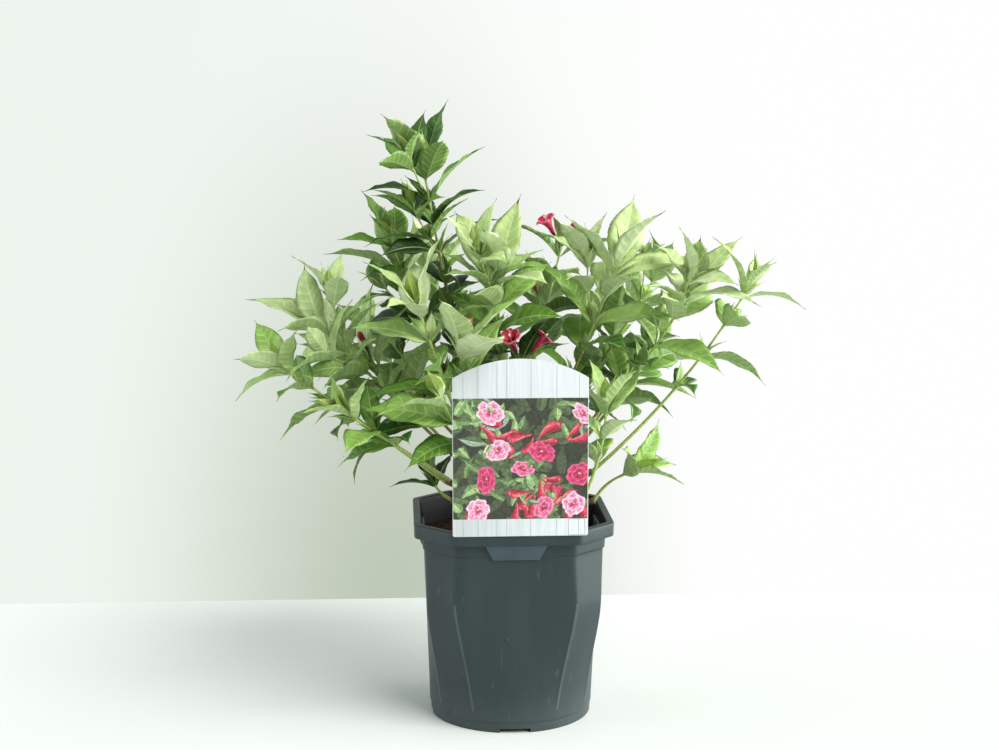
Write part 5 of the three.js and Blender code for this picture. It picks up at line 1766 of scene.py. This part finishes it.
def petal_form(bloom, turn, reach, height, half, columns=7):
    """A thin blade on a bloom: how far out, how high and how wide it is from its foot to its end.
    Each face comes with how far along the blade and how far from its middle it lies."""
    along, first, second = bloom_frame(bloom)
    across = np.linspace(-1, 1, columns)
    angle = turn + (half / np.maximum(reach, 0.3))[:, None] * across
    radial = first * np.cos(angle)[..., None] + second * np.sin(angle)[..., None]
    middle = bloom["root"] + along * height[:, None, None] + radial * reach[:, None, None]
    lift = np.cross(np.gradient(middle, axis=0), np.gradient(middle, axis=1))
    lift *= BLOOM["thin"] / 2 / np.maximum(np.linalg.norm(lift, axis=2, keepdims=True), 1e-9)
    rows, count = len(half), len(half) * columns
    place = np.arange(count).reshape(rows, columns)
    faces = [(place[r, c], place[r + 1, c], place[r + 1, c + 1], place[r, c + 1])
             for r in range(rows - 1) for c in range(columns - 1)]
    far = np.repeat((np.arange(rows - 1) + 0.5) / (rows - 1), columns - 1)
    off = np.tile(np.abs(across[1:] + across[:-1]) / 2, rows - 1)
    faces += [tuple(count + i for i in face[::-1]) for face in faces]
    rim = [*place[:-1, 0], *place[-1, :-1], *place[:0:-1, -1], *place[0, :0:-1]]
    faces += [(b, a, a + count, b + count) for a, b in zip(rim, rim[1:] + rim[:1])]
    points = np.concatenate(((middle + lift).reshape(-1, 3), (middle - lift).reshape(-1, 3)))
    inside = np.repeat((1, 0, 0), (far.size, far.size, len(rim))).astype(bool)
    far = np.concatenate((far, far, np.array(rim) // columns / (rows - 1)))
    return points, faces, far, np.concatenate((off, off, np.ones(len(rim)))), inside


def open_flower(bloom):
    """Five petals grown together into a funnel, and a style with its knob."""
    length = bloom["length"]
    t = np.linspace(0, 1, 15)
    stations = (0, 0.25, 0.5, 0.66, 0.8, 0.92, 1)
    reach = np.interp(t, stations, (0.8, 1.3, 2.5, 4.4, 7.2, 9.4, 10.4))
    height = length * np.interp(t, stations, (0.3, 0.48, 0.68, 0.83, 0.93, 0.97, 0.94))
    tube_half = reach * math.pi / BLOOM["petals"] * 1.06
    lobe_half = 5.4 * np.sqrt(np.clip(1 - ((t - 0.74) / 0.28) ** 2, 0.004, 1))
    half = np.where(t < 0.62, tube_half, np.minimum(tube_half, lobe_half))
    for petal in range(BLOOM["petals"]):
        wave = 0.5 * np.sin(5 * t + 2.3 * petal + bloom["place"]) * np.clip(t - 0.6, 0, 1) * 2
        points, faces, far, off, inside = petal_form(
            bloom, petal * 2 * math.pi / BLOOM["petals"], reach + wave, height + 1.4 * wave, half)
        mouth = np.where(far < 0.66, "petal_deep", "petal_crimson")
        within = np.where(far < 0.42, "petal_throat", mouth)
        tone = np.where(inside, within, np.where(far < 0.5, "petal_crimson", "petal_pink"))
        tone = np.where((far > 0.62) & ((off > 0.8) | (far > 0.93)), "petal_margin", tone)
        yield points, faces, tone
    along, _, _ = bloom_frame(bloom)
    centres = bloom["root"] + along * (length * np.linspace(0.4, 1.04, 12))[:, None]
    points, faces = tube(centres, np.where(np.arange(12) > 9, 0.8, 0.28), 8)
    yield points, faces, np.full(len(faces), "style_cream")


def closed_flower(bloom, young):
    """The petals of a bud furled into a club; a young one hardly shows above its calyx."""
    along, first, _ = bloom_frame(bloom)
    length = bloom["length"] * (0.62 if young else 1.0)
    t = np.linspace(0, 1, 26)
    low = BLOOM["calyx"] * bloom["length"] * 0.9
    far = low + (length - low) * t
    centres = bloom["root"] + along * far[:, None] + first * (BLOOM["bend"] * length * t ** 2)[:, None]
    radii = BUD["waist"] * (0.6 if young else 1.0) * np.interp(
        t, (0, 0.15, 0.4, 0.68, 0.84, 0.93, 0.98, 1), (0.3, 0.36, 0.55, 0.95, 1.0, 0.82, 0.5, 0.22))
    turns = np.linspace(0, 2 * math.pi, BLOOM["sides"], endpoint=False)
    furl = 0.10 * np.abs(np.sin((2.5 * turns[None] + 2.2 * t[:, None]))) - 0.05
    points, faces = tube(centres, radii, BLOOM["sides"], furl)
    along_face = np.concatenate((np.repeat(t[:-1], BLOOM["sides"]), np.zeros(BLOOM["sides"]),
                                 np.ones(BLOOM["sides"])))
    tone = np.where(along_face < 0.35, "bud_dark", np.where(along_face < 0.86, "bud_crimson", "bud_tip"))
    return points, faces, np.where(young, "bud_dark", tone)


def calyx(bloom):
    """The stalk, the slim ovary, and five narrow sepals that stand off it."""
    along, _, _ = bloom_frame(bloom)
    top = BLOOM["calyx"] * bloom["length"]
    far = np.linspace(-1.0, top, 9)
    stalk = BLOOM["stalk"]
    radii = np.interp(far / top, (-0.1, 0.3, 0.45, 0.85, 1), (stalk, stalk, 0.75, 0.85, 0.7))
    points, faces = tube(bloom["root"] + along * far[:, None], radii, 8)
    yield points, faces, np.full(len(faces), "sepal_green")
    t = np.linspace(0, 1, 8)
    for sepal in range(BLOOM["petals"]):
        reach = 0.75 + 2.6 * t ** 1.4
        height = top * 0.93 + 0.27 * bloom["length"] * t
        half = 0.72 * np.sqrt(np.clip(1 - t, 0.003, 1)) * (1 - 0.4 * t)
        points, faces, far, _, _ = petal_form(bloom, (sepal + 0.5) * 2 * math.pi / BLOOM["petals"],
                                              reach, height, half, 3)
        yield points, faces, np.where(far < 0.3, "sepal_green", "sepal_brown")


def make_flowers():
    skins = [petal_skin(name) for name in BLOOM_COLOURS]
    numbers = {name: i for i, name in enumerate(BLOOM_COLOURS)}
    parts = {"blossoms": [], "calyxes": []}
    bearing = [shoot for shoot in shoots.values() if shoot["blooms"]]
    for shoot in bearing:
        for bloom in shoot["blooms"]:
            parts["calyxes"] += calyx(bloom)
            if bloom["open"]:
                parts["blossoms"] += open_flower(bloom)
            elif len(shoot["blooms"]) < 4 or bloom["place"] % 3 != 1:
                parts["blossoms"].append(closed_flower(bloom, bloom["place"] % 3 == 0 and bloom["place"] > 3))
    for name, forms in parts.items():
        tones = np.concatenate([[numbers[tone] for tone in tones] for _, _, tones in forms])
        blooms = add_piece(name, *joined(form[:2] for form in forms), skins, tones)
        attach(blooms, "root")
        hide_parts(*(f"foliage_{shoot['name']}" for shoot in bearing))


make_flowers()
